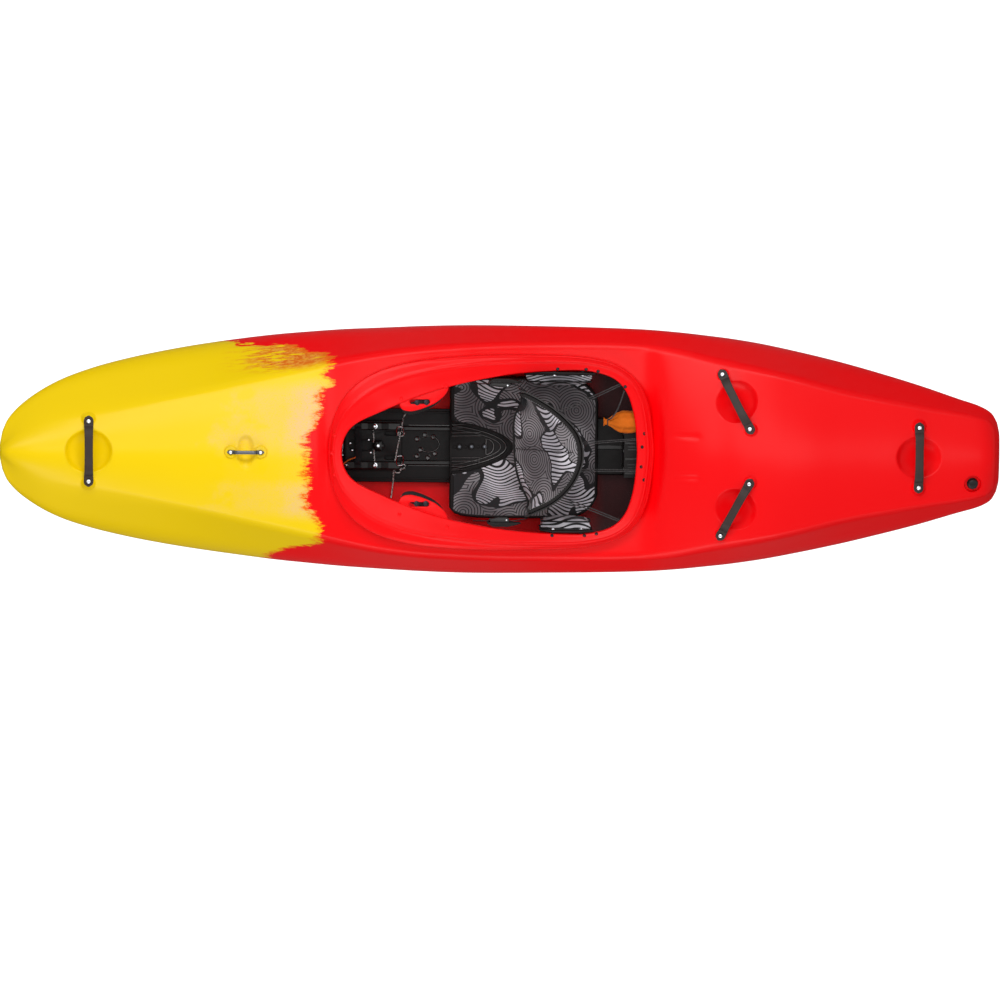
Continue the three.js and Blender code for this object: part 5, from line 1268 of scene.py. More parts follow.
def make_fitting(name, kind):
    sizes = dict(HANDLE if kind == "handle" else BAR)
    slope = Vector(FITTINGS[name][1]).normalized().z
    sizes["spacing"] = sizes["spacing"] / math.sqrt(1 - slope * slope)
    matrix = FRAMES[name]
    strap = strap_mesh(name + "_strap", sizes, matrix, RUBBER if kind == "handle" else BAR_STEEL)
    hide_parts(name)
    head = sizes["head"]
    washer = [(0, -0.2), (head + 1.6, -0.2), (head + 1.6, 0.5), (head + 1.2, 0.9), (0, 0.9)]
    boss = [(0, -14), (24, -14), (20.5, -9.5), (18, -6.5), (16.2, -3.4), (15.3, -1.6), (14.4, -0.5), (13, 0),
            (0, 0)]
    for number, end in ((1, -1), (2, 1)):
        foot = matrix @ Matrix.Translation((end * sizes["spacing"] / 2, 0, 0))
        spot = foot @ Matrix.Translation((0, 0, 0.3 + sizes["thick"]))
        lathe(f"{name}_washer_{number}", washer, BLACK, matrix=spot)
        top = spot @ Matrix.Translation((0, 0, 0.9))
        screw_head(f"{name}_screw_{number}", top, head, 4.4, STEEL, node=f"{name}_bolt_{number}")
        lathe(f"{name}_boss_{number}", boss, HULL, matrix=foot, sides=56)


# Moulded strap: rounded section swept along its line, with round ends and a swelling at the grip
def strap_mesh(name, sizes, matrix, mat):
    half_width, thick, corner = sizes["width"] / 2, sizes["thick"], sizes["pad"] / 2
    end = sizes["spacing"] / 2 + corner
    dense = curve_points(strap_line(sizes), 3)
    sides, squareness = 24, 0.42
    verts = []
    for i, point in enumerate(dense):
        before, after = dense[max(i - 1, 0)], dense[min(i + 1, len(dense) - 1)]
        along = (after - before).normalized()
        lift = Vector((-along.z, 0, along.x))
        gap = end - abs(point.x)
        width = half_width * (0.84 + 0.16 * min(abs(point.x) / (sizes["spacing"] / 2), 1) ** 3)
        if gap < corner:
            width = width * math.sqrt(max(1 - ((corner - gap) / corner) ** 2, 0.02))
        grip = max(1 - abs(point.x) / (sizes["spacing"] * 0.32), 0)
        rise = thick / 2 * (1 + 0.18 * grip)
        for k in range(sides):
            turn = 2 * math.pi * k / sides
            a = squared(math.cos(turn), squareness) * width
            b = squared(math.sin(turn), squareness) * rise
            verts.append(tuple(matrix @ (point + Vector((0, a, 0)) + lift * b)))
    return make_object(name, verts, tube_faces(len(dense), sides), mat, smooth=45)


# A sine or cosine raised toward the corners of a square, with its sign kept
def squared(value, power):
    return math.copysign(abs(value) ** power, value)


for fitting, (_, _, _, kind) in FITTINGS.items():
    make_fitting(fitting, kind)


def make_drain():
    ring = [(10.6, -8.9), (10.6, -5.4), (11.2, -4.9), (14.6, -4.9), (15.3, -5.5), (15.5, -6.3), (15.5, -8.6),
            (10.6, -8.9)]
    fitting = lathe("drain_fitting_ring", ring, BLACK, matrix=DRAIN, sides=64)
    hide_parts("drain_fitting")
    band = [(10.5, -5), (10.5, -3.2), (11, -2.7), (12.4, -2.7), (13, -3.3), (13, -5), (10.5, -5)]
    seal = lathe("drain_seal_ring", band, SEAL, "drain_carrier", DRAIN, 64)
    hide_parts("drain_seal")

    def lobes(turn):
        return 1 + 0.035 * math.cos(8 * turn)

    cap = [(0, -2.5), (12.7, -2.5), (13.4, -1.7), (13.5, 2.2), (12.7, 3.6), (11.1, 4.4), (5, 4.9), (0, 5)]
    head = lathe("drain_plug_head", cap, SATIN, "drain", DRAIN, 96, squash=lobes)
    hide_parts("drain_plug")
    box("drain_plug_grip", (-10, -2, 4), (10, 2, 6.9), SATIN, "drain", 0.9, DRAIN)
    stem = [(0, -14), (9.4, -14), (10, -13.2), (10, -2.6), (0, -2.6)]
    lathe("drain_plug_stem", stem, SATIN, "drain", DRAIN, 40)


make_drain()


# Cockpit outfitting
inner_form = Surface(*loft(hull_rings(station_list(110, 0.03, 0.965), HULL_WALL, corner_steps=5,
                                      runs=(5, 2, 4, 5), crown_steps=8)))
KNIT = {"top": 352, "low": 188, "end_low": 252, "end_top": 330, "lean": 180}
BACK_POINTS = [(46, 172), (104, 147), (166, 104), (212, 48), (222, -14), (198, -80), (150, -131), (66, -172)]
SEAT_FRONT, SEAT_LENGTH, SEAT_WIDTH = -143, 414, 396
PAD_INSET = 6
TRAY_TOP, RAIL_TOP = 30, 44
MIDDLE_HEIGHT = 200


def floor_at(x, y):
    hit = inner_form.tree.ray_cast(Vector((x, y, MIDDLE_HEIGHT)), Vector((0, 0, -1)))
    return hit[0].z if hit[0] else 8


def ceiling_at(x, y):
    hit = inner_form.tree.ray_cast(Vector((x, y, MIDDLE_HEIGHT)), Vector((0, 0, 1)))
    return hit[0].z if hit[0] else 300


# Grid sheet from a function of two shares, as verts and faces
def sheet_data(point, across_steps, along_steps):
    verts = [point(i / along_steps,
                   j / across_steps) for i in range(along_steps + 1) for j in range(across_steps + 1)]
    faces = []
    for i in range(along_steps):
        for j in range(across_steps):
            a = i * (across_steps + 1) + j
            faces.append((a, a + 1, a + across_steps + 2, a + across_steps + 1))
    return verts, faces


# The points round the edge of such a sheet, by their numbers
def sheet_rim(across_steps, along_steps):
    row = across_steps + 1
    rim = list(range(row)) + [k * row + across_steps for k in range(1, along_steps + 1)]
    rim += [along_steps * row + j for j in range(across_steps - 1, -1, -1)]
    return rim + [k * row for k in range(along_steps - 1, 0, -1)]


# Closed block between two sheets of the same net
def block_data(upper, lower, across_steps, along_steps):
    top, faces = sheet_data(upper, across_steps, along_steps)
    low, _ = sheet_data(lower, across_steps, along_steps)
    shift = len(top)
    all_faces = list(faces) + [tuple(v + shift for v in reversed(face)) for face in faces]
    rim = sheet_rim(across_steps, along_steps)
    for a, b in zip(rim, rim[1:] + rim[:1]):
        all_faces.append((b, a, a + shift, b + shift))
    return top + low, all_faces


def tube(name, path, radius, mat, body="kayak", sides=10, flat=None, up=(0, 0, 1), closed=False, steps=6):
    section = round_section(radius, sides)
    if flat:
        section = [(a * flat[0], b * flat[1]) for a, b in round_section(1, sides)]
    points = curve_points(path, steps) if steps else [Vector(p) for p in path]
    if closed:
        points = points + [points[0]]
    return sweep(name, points, section, mat, body, up, not closed)


def bolt(name, place, axis, radius, height, mat, body="kayak", node=None, washer=True):
    side = (0, 1, 0) if abs(Vector(axis).normalized().y) < 0.8 else (1, 0, 0)
    matrix = frame_from(place, side, axis)
    if washer:
        ring = [(0, -0.4), (radius * 1.45, -0.4), (radius * 1.45, 0.3), (radius * 1.3, 0.6), (0, 0.6)]
        lathe(name + "_washer", ring, mat, body, matrix, 28)
    screw_head(name, matrix, radius, height, mat, body, node=node)


# Floor tray with rails, its edges and slots, and the bulkhead's sled
def make_tray():
    tray = box("floor_tray_plate", (-500, -104, 24), (270, 104, TRAY_TOP), BLACK, edge=1.4)
    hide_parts("floor_tray")
    for side in (1, -1):
        box(f"tray_skirt_{letter(side)}", (-205, side * 97 - 3, 7), (270, side * 97 + 3, 27), BLACK, edge=1.2)
        box(f"tray_rail_{letter(side)}", (-500, side * 48 - 6, 27), (270, side * 48 + 6, RAIL_TOP), SATIN,
            edge=2.4)
        box(f"tray_rib_{letter(side)}", (-262, side * 57 - 1.5, 29), (-145, side * 57 + 1.5, 31.6), GLOSS_HIGHLIT,
            edge=0.8)
        box(f"tray_bead_{letter(side)}", (-498, side * 94 - 3, 29), (-145, side * 94 + 3, 32.4), BLACK,
            edge=1.2)
    dimple = [(0, 28), (8, 28), (8, TRAY_TOP + 0.6), (6.6, TRAY_TOP + 1.2), (5.4, TRAY_TOP + 0.4),
              (0, TRAY_TOP + 0.3)]
    places = [(-236, -30), (-226, -12), (-236, 18), (-214, 30), (-190, 24), (-186, -22), (-205, -34)]
    for k, (x, y) in enumerate(places):
        lathe(f"tray_dimple_{k}", dimple, GLOSS_HIGHLIT, matrix=Matrix.Translation((x, y, 0)), sides=28)
    turns = np.linspace(-2.2, 2.2, 22)
    ring = [(-204 + 30 * math.cos(t), 4 + 23 * math.sin(t), TRAY_TOP + 0.8) for t in turns]
    tube("tray_moulded_arc", ring, 2.0, GLOSS_HIGHLIT, steps=0)


def make_sled():
    body = "bulkhead"
    low, high = 44.3, 51.3
    outlines = [[(-440, -70), (-280, -70), (-280, 70), (-440, 70)], stadium(-395, 0, 40, 30, 8)]
    outlines += [stadium(-310, y, 26, 10, 6) for y in (-34, 34)]
    deck = plate("sled_plate", outlines, low, high, BLACK, body, edge=1.4)
    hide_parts("bulkhead_sled")
    for side in (1, -1):
        tag = letter(side)
        box(f"sled_flange_{tag}", (-440, side * 63 - 7, 32.5), (-280, side * 63 + 7, 47), BLACK, body, 1.2)
        box(f"sled_arm_{tag}", (-659.5, side * 55 - 11, 47.3), (-282, side * 55 + 11, 65), SATIN, body, 3.2)
        for k in range(9):
            x = -640 + k * 38
            box(f"sled_arm_notch_{tag}_{k}", (x, side * 55 - 8, 64), (x + 20, side * 55 + 8, 66.2), BLACK,
                body, 0.7)
        bolt(f"sled_bolt_{tag}_a", (-355, side * 55, 65.1), (0, 0, 1), 5.5, 4, STEEL, body)
        bolt(f"sled_bolt_{tag}_b", (-436, side * 55, 65.1), (0, 0, 1), 4.5, 3.4, STEEL, body)
        buckle = [(-292, side * 30, 53), (-292, side * 52, 69), (-276, side * 52, 69), (-276, side * 30, 53)]
        tube(f"sled_buckle_{tag}", buckle + [buckle[0]], 1.7, STEEL, body, steps=5)
    across_hull = frame_from((-668, 0, 0), (0, 1, 0), (1, 0, 0))
    outlines = [foot_outline(0), stadium(-90, 175, 60, 26, 8), stadium(90, 175, 60, 26, 8)]
    foot = plate("foot_plate", outlines, 0, 8, BLACK, body, across_hull, 1.8)
    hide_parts("bulkhead_foot_plate")
    pad = plate("foot_foam", [foot_outline(14, 66)], 8.4, 34.2, FOAM, body, across_hull, 5, resolution=3)
    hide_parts("bulkhead_foam")

    def lobes(turn):
        return 1 + 0.09 * math.cos(6 * turn)

    knob_place = Matrix.Translation((-345, 0, 51.6))
    head = [(0, 0), (15.6, 0), (16.2, 1.4), (16.2, 10), (15, 12.6), (11, 14.4), (0, 15.4)]
    knob = lathe("bulkhead_knob_head", head, SATIN, "knob", knob_place, 72, squash=lobes)
    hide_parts("bulkhead_knob")
    stud = [(0, -20.8), (3.7, -20.8), (3.7, 0.4), (0, 0.4)]
    lathe("bulkhead_knob_stud", stud, STEEL, "knob", knob_place, 24)
    cap = [(0, 14), (4.4, 14), (4.4, 15.8), (3.6, 16.6), (0, 16.8)]
    lathe("bulkhead_knob_cap", cap, STEEL, "knob", knob_place, 28)
    strap = [(-404, -66, 58), (-402, -40, 70), (-400, 0, 56), (-402, 40, 70), (-404, 66, 58)]
    tube("sled_strap", strap, 1, WEBBING, body, flat=(9, 1.1), steps=8)
    loop = [(-462 + 17 * math.cos(t), 4 + 62 * math.sin(t),
             66 + 6 * math.sin(2 * t)) for t in np.linspace(-2.7, 2.7, 26)]
    tube("sled_hoop", loop, 2.1, STEEL, body, steps=0)
    orange = [(-452, -60, 70), (-436, -46, 73), (-424, -38, 74), (-412, -34, 72), (-404, -30, 60)]
    tube("sled_pull_cord", orange, 2.1, ORANGE_CORD, body, steps=6)
    for k, (x, y) in enumerate([(-448, 22), (-446, -28), (-424, 6), (-418, -14), (-372, 16), (-366, -20)]):
        bolt(f"sled_rivet_{k}", (x, y, 51.4), (0, 0, 1), 3.6, 2.6, STEEL, body, washer=False)


def foot_outline(inset, arch=0):
    half = []
    for side, height in FOOT_PLATE_SHARES:
        half.append((side * (190 - inset), 58 + inset + height * (238 - 2 * inset)))
    if arch:
        half = [(x, max(y, arch + 3)) for x, y in half]
    return half + [(-x, y) for x, y in reversed(half[1:-1])]


PAN_HEIGHT, FRONT_RISE, BACK_RISE, SIDE_RISE = 57, 52, 24, 34
PAD_GAP, PAD_THICK, PAD_CROWN = 2.6, 13, 5


def seat_top(x, y):
    along = (x - SEAT_FRONT) / SEAT_LENGTH
    side = min(abs(y) / (SEAT_WIDTH / 2), 1)
    lobe = min(side / 0.6, 1)
    lobe = lobe * lobe * (3 - 2 * lobe)
    front = max(1 - along / 0.45, 0) ** 2 * (0.5 + 0.5 * lobe)
    rear = max((along - 0.75) / 0.25, 0) ** 2
    return PAN_HEIGHT + FRONT_RISE * front + BACK_RISE * rear + SIDE_RISE * side ** 3


def seat_half(x, inset=0):
    return read_shares(SEAT_OUTLINE_SHARES, (x - SEAT_FRONT) / SEAT_LENGTH) * SEAT_WIDTH / 2 - inset


def nose_outline(grow=0, steps=40):
    points = []
    for i in range(steps + 1):
        turn = math.pi * (i / steps - 0.5)
        points.append((SEAT_FRONT + (176 + grow * 1.4) * math.cos(turn) ** 1.7, (75 + grow) * math.sin(turn)))
    return points


def make_seat():
    body = "seat"

    def over(u, v):
        x = SEAT_FRONT + SEAT_LENGTH * u
        y = seat_half(x) * (2 * v - 1)
        return (x, y, seat_top(x, y))

    steps = 56
    verts, faces = sheet_data(over, steps, steps)
    rim = sheet_rim(steps, steps)
    base = len(verts)
    middle = Vector((SEAT_FRONT + SEAT_LENGTH / 2, 0))
    for depth, out in ((0.0, 1.0), (0.12, 1.006), (0.5, 1.006), (1.0, 1.002)):
        for k in rim:
            x, y, z = verts[k]
            px, py = middle.x + (x - middle.x) * (out if depth else 1), y * (out if depth else 1)
            end_side = abs(x - SEAT_FRONT) < 1 or abs(x - SEAT_FRONT - SEAT_LENGTH) < 1
            foot = RAIL_TOP + 5 if end_side and abs(y) < 106 else floor_at(px, py) + 2
            foot = min(foot, z - 4)
            verts.append((px, py, z + (foot - z) * depth))
    count = len(rim)
    for level in range(3):
        faces += ring_quads(base + level * count, base + (level + 1) * count, count)
    for k in range(count):
        n = (k + 1) % count
        faces.append((rim[k], rim[n], base + n, base + k))
    pan = make_object("seat_pan_shell", verts, faces, BLACK, body, 40)
    finish_mesh(pan.data, merge=0.00005)
    thick = pan.modifiers.new("Wall", "SOLIDIFY")
    thick.thickness = 5 * MM
    thick.offset = -1 if sum(f.normal.z for f in pan.data.polygons) > 0 else 1
    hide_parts("seat_pan")

    def on_seat(points, lift):
        return [(x, y, seat_top(x, y) + lift) for x, y in points]

    nose = [(x, y) for x, y in nose_outline(-13) if x > SEAT_FRONT + 4]
    tube("pommel_bead", on_seat(nose, 1.4), 3.0, GLOSS_HIGHLIT, body, steps=0)
    nose_low = [(x, y) for x, y in nose_outline(-24) if x > SEAT_FRONT + 4]
    tube("pommel_inner_bead", on_seat(nose_low, 0.9), 2.2, GLOSS_HIGHLIT, body, steps=0)
    slot_path = [(x, y) for x, y in stadium(-100, 0, 116, 44, 14) if x > SEAT_FRONT + 3]
    tube("pommel_slot_rim", on_seat(slot_path, 1.2), 2.8, GLOSS_HIGHLIT, body, steps=0, closed=True)
    for k, y in enumerate((-64, -54, -40, -31, 31, 40, 54, 64)):
        end = -100 if abs(y) > 45 else -58
        path = [(x, y) for x in np.linspace(SEAT_FRONT + 4, end, 9)]
        tube(f"pommel_rib_{k}", on_seat(path, 0.9), 2.5, GLOSS_HIGHLIT, body, steps=0)
    for k, x in enumerate((-129, -99, -64)):
        hole = frame_from((x, 0, seat_top(x, 0)), (1, 0, 0), surface_normal(x, 0))
        lathe(f"pommel_hole_{k}", [(0, 0.3), (3.6, 0.3), (4.6, 1.3), (6.2, 1.2), (6.8, 0.3), (6.8, -2)],
              BLACK, body, hole, 28)
    for k, x in enumerate((-116, -82, -45)):
        screw = frame_from((x, 0, seat_top(x, 0) + 2.2), (1, 0, 0), surface_normal(x, 0))
        lathe(f"seat_bolt_seat_{k + 1}", [(0, -4), (11, -4), (9.4, -0.6), (8.6, 0), (0, 0)], BLACK, body,
              screw, 36)
        screw_head(f"seat_bolt_head_{k + 1}", screw, 5.6, 3.2, BAR_STEEL, body, node=f"seat_bolt_{k + 1}")


def surface_normal(x, y):
    step = 3
    return (seat_top(x - step, y) - seat_top(x + step, y), seat_top(x, y - step) - seat_top(x, y + step),
            2 * step)


def pad_height(x, y):
    u = 2 * (x - SEAT_FRONT - PAD_INSET) / (SEAT_LENGTH - 2 * PAD_INSET) - 1
    v = y / seat_half(x, PAD_INSET)
    rise = PAD_THICK * (1 - 0.6 * u ** 8) * (1 - 0.6 * v ** 6) + PAD_CROWN * (1 - u * u) * (1 - v * v)
    return seat_top(x, y) + PAD_GAP + rise


def soft_wave(x, y, z=0.0):
    along = math.sin(x * 0.061 + 1.3 * math.sin(y * 0.043))
    return along * math.cos(y * 0.052 + 0.7 * math.sin(x * 0.037 + z * 0.05))


def make_seat_pad():
    body = "seat"

    def along(u):
        return SEAT_FRONT + PAD_INSET + (SEAT_LENGTH - 2 * PAD_INSET) * u

    def upper(u, v):
        x = along(u)
        y = seat_half(x, PAD_INSET) * (2 * v - 1)
        return (x, y, pad_height(x, y) + 0.7 * soft_wave(x, y))

    def lower(u, v):
        x = along(u)
        y = seat_half(x, PAD_INSET) * (2 * v - 1)
        return (x, y, seat_top(x, y) + 2.2)

    pad = make_object("seat_pad_cover", *block_data(upper, lower, 84, 84), PRINT, body, 60)
    nose = nose_outline() + [(SEAT_FRONT - 40, 75), (SEAT_FRONT - 40, -75)]
    pad.data.materials.append(BINDING)
    tool = cutter("cut_pommel", *prism_data(nose, 0, 240))
    mod = pad.modifiers.new("Cut", "BOOLEAN")
    mod.operation, mod.solver, mod.object = "DIFFERENCE", "EXACT", tool
    mesh = bpy.data.meshes.new_from_object(pad.evaluated_get(bpy.context.evaluated_depsgraph_get()))
    pad.modifiers.clear()
    pad.data = mesh
    bpy.data.objects.remove(tool, do_unlink=True)
    finish_mesh(mesh, 50)
    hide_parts("seat_pad")
    edge = [(x, y, pad_height(x, y) - 3.5) for x, y in nose_outline() if x > SEAT_FRONT + 7]
    tube("seat_pad_nose_binding", edge, 1, BINDING, body, flat=(3.2, 5.5), steps=0)
    rim = []
    for k in range(61):
        x = SEAT_FRONT + PAD_INSET + (SEAT_LENGTH - 2 * PAD_INSET) * k / 60
        rim.append((x, seat_half(x, 5)))
    pad_end = SEAT_FRONT + SEAT_LENGTH - PAD_INSET
    half = seat_half(pad_end, 8)
    back = [(pad_end + 1, y) for y in np.linspace(half, -half, 24)]
    loop = rim + back + [(x, -y) for x, y in reversed(rim)]
    binding = [(x, y, pad_height(min(max(x, SEAT_FRONT + 7), pad_end - 1), y) - 3) for x, y in loop]
    tube("seat_pad_binding", binding, 1, BINDING, body, flat=(3.4, 5), steps=0)
    for side in (1, -1):
        front = []
        for y in np.linspace(77, seat_half(SEAT_FRONT + 7, 7), 18):
            front.append((SEAT_FRONT + 7, side * y, pad_height(SEAT_FRONT + 8, side * y) - 2.5))
        tube(f"seat_pad_front_{letter(side)}", front, 1, BINDING, body, flat=(5.5, 4.5), steps=0)


# The backband's plan curve: centripetal, spread evenly by length
def centripetal(points, samples=600):
    pts = [Vector((p[0], p[1], 0)) for p in points]
    pts = [pts[0] * 2 - pts[1]] + pts + [pts[-1] * 2 - pts[-2]]
    out = []
    per = samples // (len(points) - 1)
    for i in range(1, len(pts) - 2):
        p0, p1, p2, p3 = pts[i - 1:i + 3]
        t0 = 0.0
        t1 = t0 + max((p1 - p0).length, 1e-4) ** 0.5
        t2 = t1 + max((p2 - p1).length, 1e-4) ** 0.5
        t3 = t2 + max((p3 - p2).length, 1e-4) ** 0.5
        for k in range(per + (i == len(pts) - 3)):
            t = t1 + (t2 - t1) * k / per
            a1 = p0 * ((t1 - t) / (t1 - t0)) + p1 * ((t - t0) / (t1 - t0))
            a2 = p1 * ((t2 - t) / (t2 - t1)) + p2 * ((t - t1) / (t2 - t1))
            a3 = p2 * ((t3 - t) / (t3 - t2)) + p3 * ((t - t2) / (t3 - t2))
            b1 = a1 * ((t2 - t) / (t2 - t0)) + a2 * ((t - t0) / (t2 - t0))
            b2 = a2 * ((t3 - t) / (t3 - t1)) + a3 * ((t - t1) / (t3 - t1))
            out.append(b1 * ((t2 - t) / (t2 - t1)) + b2 * ((t - t1) / (t2 - t1)))
    return out


back_line = centripetal(BACK_POINTS)
back_runs = [0.0]
for near, far in zip(back_line, back_line[1:]):
    back_runs.append(back_runs[-1] + (far - near).length)


def back_at(u):
    target = back_runs[-1] * min(max(u, 0), 1)
    k = int(np.searchsorted(back_runs, target))
    k = min(max(k, 1), len(back_line) - 1)
    span = back_runs[k] - back_runs[k - 1] or 1
    point = back_line[k - 1].lerp(back_line[k], (target - back_runs[k - 1]) / span)
    low, high = max(k - 4, 0), min(k + 3, len(back_line) - 1)
    tangent = (back_line[high] - back_line[low]).normalized()
    return point, tangent


def lean_at(u, z):
    share = max(1 - (2 * u - 1) ** 2, 0)
    return KNIT["lean"] * share ** 1.5 * (KNIT["top"] - z) / (KNIT["top"] - KNIT["low"])


def band_point(u, level, reach, inset=0):
    point, tangent = back_at(u)
    ends = abs(2 * u - 1) ** 3
    low = KNIT["low"] + (KNIT["end_low"] - KNIT["low"]) * ends + inset
    top = KNIT["top"] + (KNIT["end_top"] - KNIT["top"]) * ends - inset
    z = low + (top - low) * level
    return (point.x - tangent.y * reach - lean_at(u, z), point.y + tangent.x * reach, z)


BAND_FRONT, BAND_BACK, PAD_EDGE, PAD_SWELL = 2.1, 6.1, 4.675, 9.2
STRAP_HALF, STRAP_GAP = 1.2, 0.5
SIDES = (("starboard", 1), ("port", -1))


def band_block(name, front, back, start, end, inset, mat, steps=(64, 18), smooth=50):
    def side(reach):
        return lambda i, j: band_point(start + (end - start) * i, j, reach(i, j), inset)
    return make_object(name, *block_data(side(front), side(back), steps[1], steps[0]), mat, "backband",
                       smooth)


def make_backband():
    shell = band_block("backband_frame", lambda i, j: BAND_FRONT, lambda i, j: BAND_BACK, 0, 1, 0, SATIN)
    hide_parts("backband_shell")
    bevel(shell, 1.2)

    def face(i, j):
        full = (1 - (2 * j - 1) ** 6) * (1 - (2 * i - 1) ** 8)
        seam = 1 - 0.5 * math.exp(-((i - 0.5) / 0.012) ** 2)
        return -BAND_FRONT - PAD_EDGE - PAD_SWELL * full * seam - 0.5 * soft_wave(i * 400, j * 120)

    pad = band_block("backband_cushion", face, lambda i, j: -2.0, 1 / 24, 23 / 24, 3, PRINT_BACK, (120, 34),
                     60)
    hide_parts("backband_pad")

    def edge_path(level, reach, start=1 / 26, end=25 / 26, count=80):
        return [band_point(start + (end - start) * k / count, level, reach, 2) for k in range(count + 1)]

    tube("backband_top_binding", edge_path(1.0, -5), 1, BINDING, "backband", flat=(5, 3), steps=0)
    tube("backband_low_binding", edge_path(0.0, -6), 1, BINDING, "backband", flat=(6, 3), steps=0)
    for k, u in enumerate((1 / 26, 25 / 26)):
        ends = [band_point(u, level, -5, 2) for level in np.linspace(0, 1, 12)]
        tube(f"backband_end_binding_{k}", ends, 1, BINDING, "backband", flat=(3, 7), up=(1, 0, 0), steps=0)
    seam = [band_point(0.5, level, -18.2 * (1 - 0.32 * abs(2 * level - 1) ** 6),
                       4) for level in np.linspace(0.04, 0.97, 22)]
    tube("backband_seam", seam, 0.9, BINDING, "backband", sides=8, steps=0)
    for k in range(66):
        u = 0.05 + 0.9 * k / 65
        ends = [Vector(band_point(share, 1.0, -9.5, 0.8)) for share in (u, u + 0.006)]
        tube(f"backband_stitch_{k}", ends, 0.85, STITCH, "backband", sides=6, steps=1)
    places = ((0.045, 0.84), (0.07, 0.7), (0.1, 0.52), (0.13, 0.34), (0.155, 0.16), (0.17, 0.02))
    strap = [band_point(u, level, -20.6, 2) for u, level in places]
    tube("backband_strap", strap, 1, WEBBING, "backband", flat=(1.3, 11), up=(0, 1, 0), steps=6)
    rear = [band_point(0.5, level, 8.2, 2) for level in (0.16, 0.4, 0.7, 0.9)]
    tube("backband_rear_webbing", rear, 1, WEBBING, "backband", flat=(19, 1.3), steps=5)


def cushion(name, length, height, thick, crown, matrix, mat):
    def spread(u, v):
        x = u * length / 2 * (1 - 0.04 * (1 - abs(v) ** 4) * abs(u) ** 6)
        z = v * height / 2 * (1 - 0.04 * (1 - abs(u) ** 4) * abs(v) ** 6)
        return x, z

    def front(i, j):
        u, v = 2 * i - 1, 2 * j - 1
        rise = (thick - crown) * (1 - 0.5 * u ** 8) * (1 - 0.5 * v ** 8) + crown * (1 - u * u) * (1 - v * v)
        x, z = spread(u, v)
        return tuple(matrix @ Vector((x, rise + 0.5 * soft_wave(x * 1.4, z * 1.4, thick), z)))

    def back(i, j):
        x, z = spread(2 * i - 1, 2 * j - 1)
        return tuple(matrix @ Vector((x, 0, z)))

    pad = make_object(name, *block_data(front, back, 36, 36), mat, "kayak", 60)
    loop = []
    for k in range(73):
        turn = 2 * math.pi * k / 72
        a = squared(math.cos(turn), 0.25) * length / 2
        b = squared(math.sin(turn), 0.25) * height / 2
        loop.append(tuple(matrix @ Vector((a * 0.985, thick * 0.62, b * 0.985))))
    tube(name + "_piping", loop, 2.0, BINDING, steps=0)
    return pad


def make_hips():
    for name, side, shift in (("starboard", 1, 0), ("port", -1, 44)):
        x0, x1, low, high = 64 + shift, 254, 126, 270
        matrix = frame_from((0, side * 215, 0), (1, 0, 0), (0, side, 0))
        flip = matrix.to_3x3() @ Vector((0, 1, 0))
        sign = 1 if flip.z > 0 else -1
        corners = [(x0, low), (x1, low), (x1, high - 6), (x1 - 6, high), (x0 + 6, high), (x0, high - 6)]
        outlines = [[(x, sign * z) for x, z in corners], stadium((x0 + x1) / 2, sign * 190, 50, 30, 8)]
        hip = plate(name + "_hip_plate_shell", outlines, -2, 2, BLACK, matrix=matrix, edge=0.9)
        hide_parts(name + "_hip_plate")
        length = 190 - shift - 8
        turned = Matrix.Rotation(math.pi if side > 0 else 0, 4, "Z")
        middle = Matrix.Translation((x0 + 4 + length / 2, side * 212.4, 188)) @ turned
        pad = cushion(name + "_hip_cushion", length, 116, 30, 5, middle, PRINT_SIDE)
        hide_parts(name + "_hip_pad")
        for k, x in enumerate((146, 224)):
            z = rim_top(x) - 13
            bolt(f"{name}_hip_screw_head_{k + 1}", (x, side * 212.6, z), (0, -side, 0), 4.8, 3.2, STEEL,
                 node=f"{name}_hip_screw_{k + 1}")
            reach = abs(half_opening(x) - 217) - 1.2
            wall = frame_from((x, side * 216.6, z), (1, 0, 0), (0, side, 0))
            lathe(f"{name}_hip_boss_{k + 1}", [(0, 0), (7, 0), (7, reach), (0, reach)], BLACK, matrix=wall,
                  sides=28)
        places = [(x0 + 2, 216, high - 2), (x0 + 40, 219, high + 4), (x1 - 40, 219, high + 4),
                  (x1 + 3, 217, high - 3)]
        top = [(x, side * y, z) for x, y, z in places]
        tube(name + "_hip_top_edge", top, 1, BLACK, flat=(3.4, 3), steps=8)


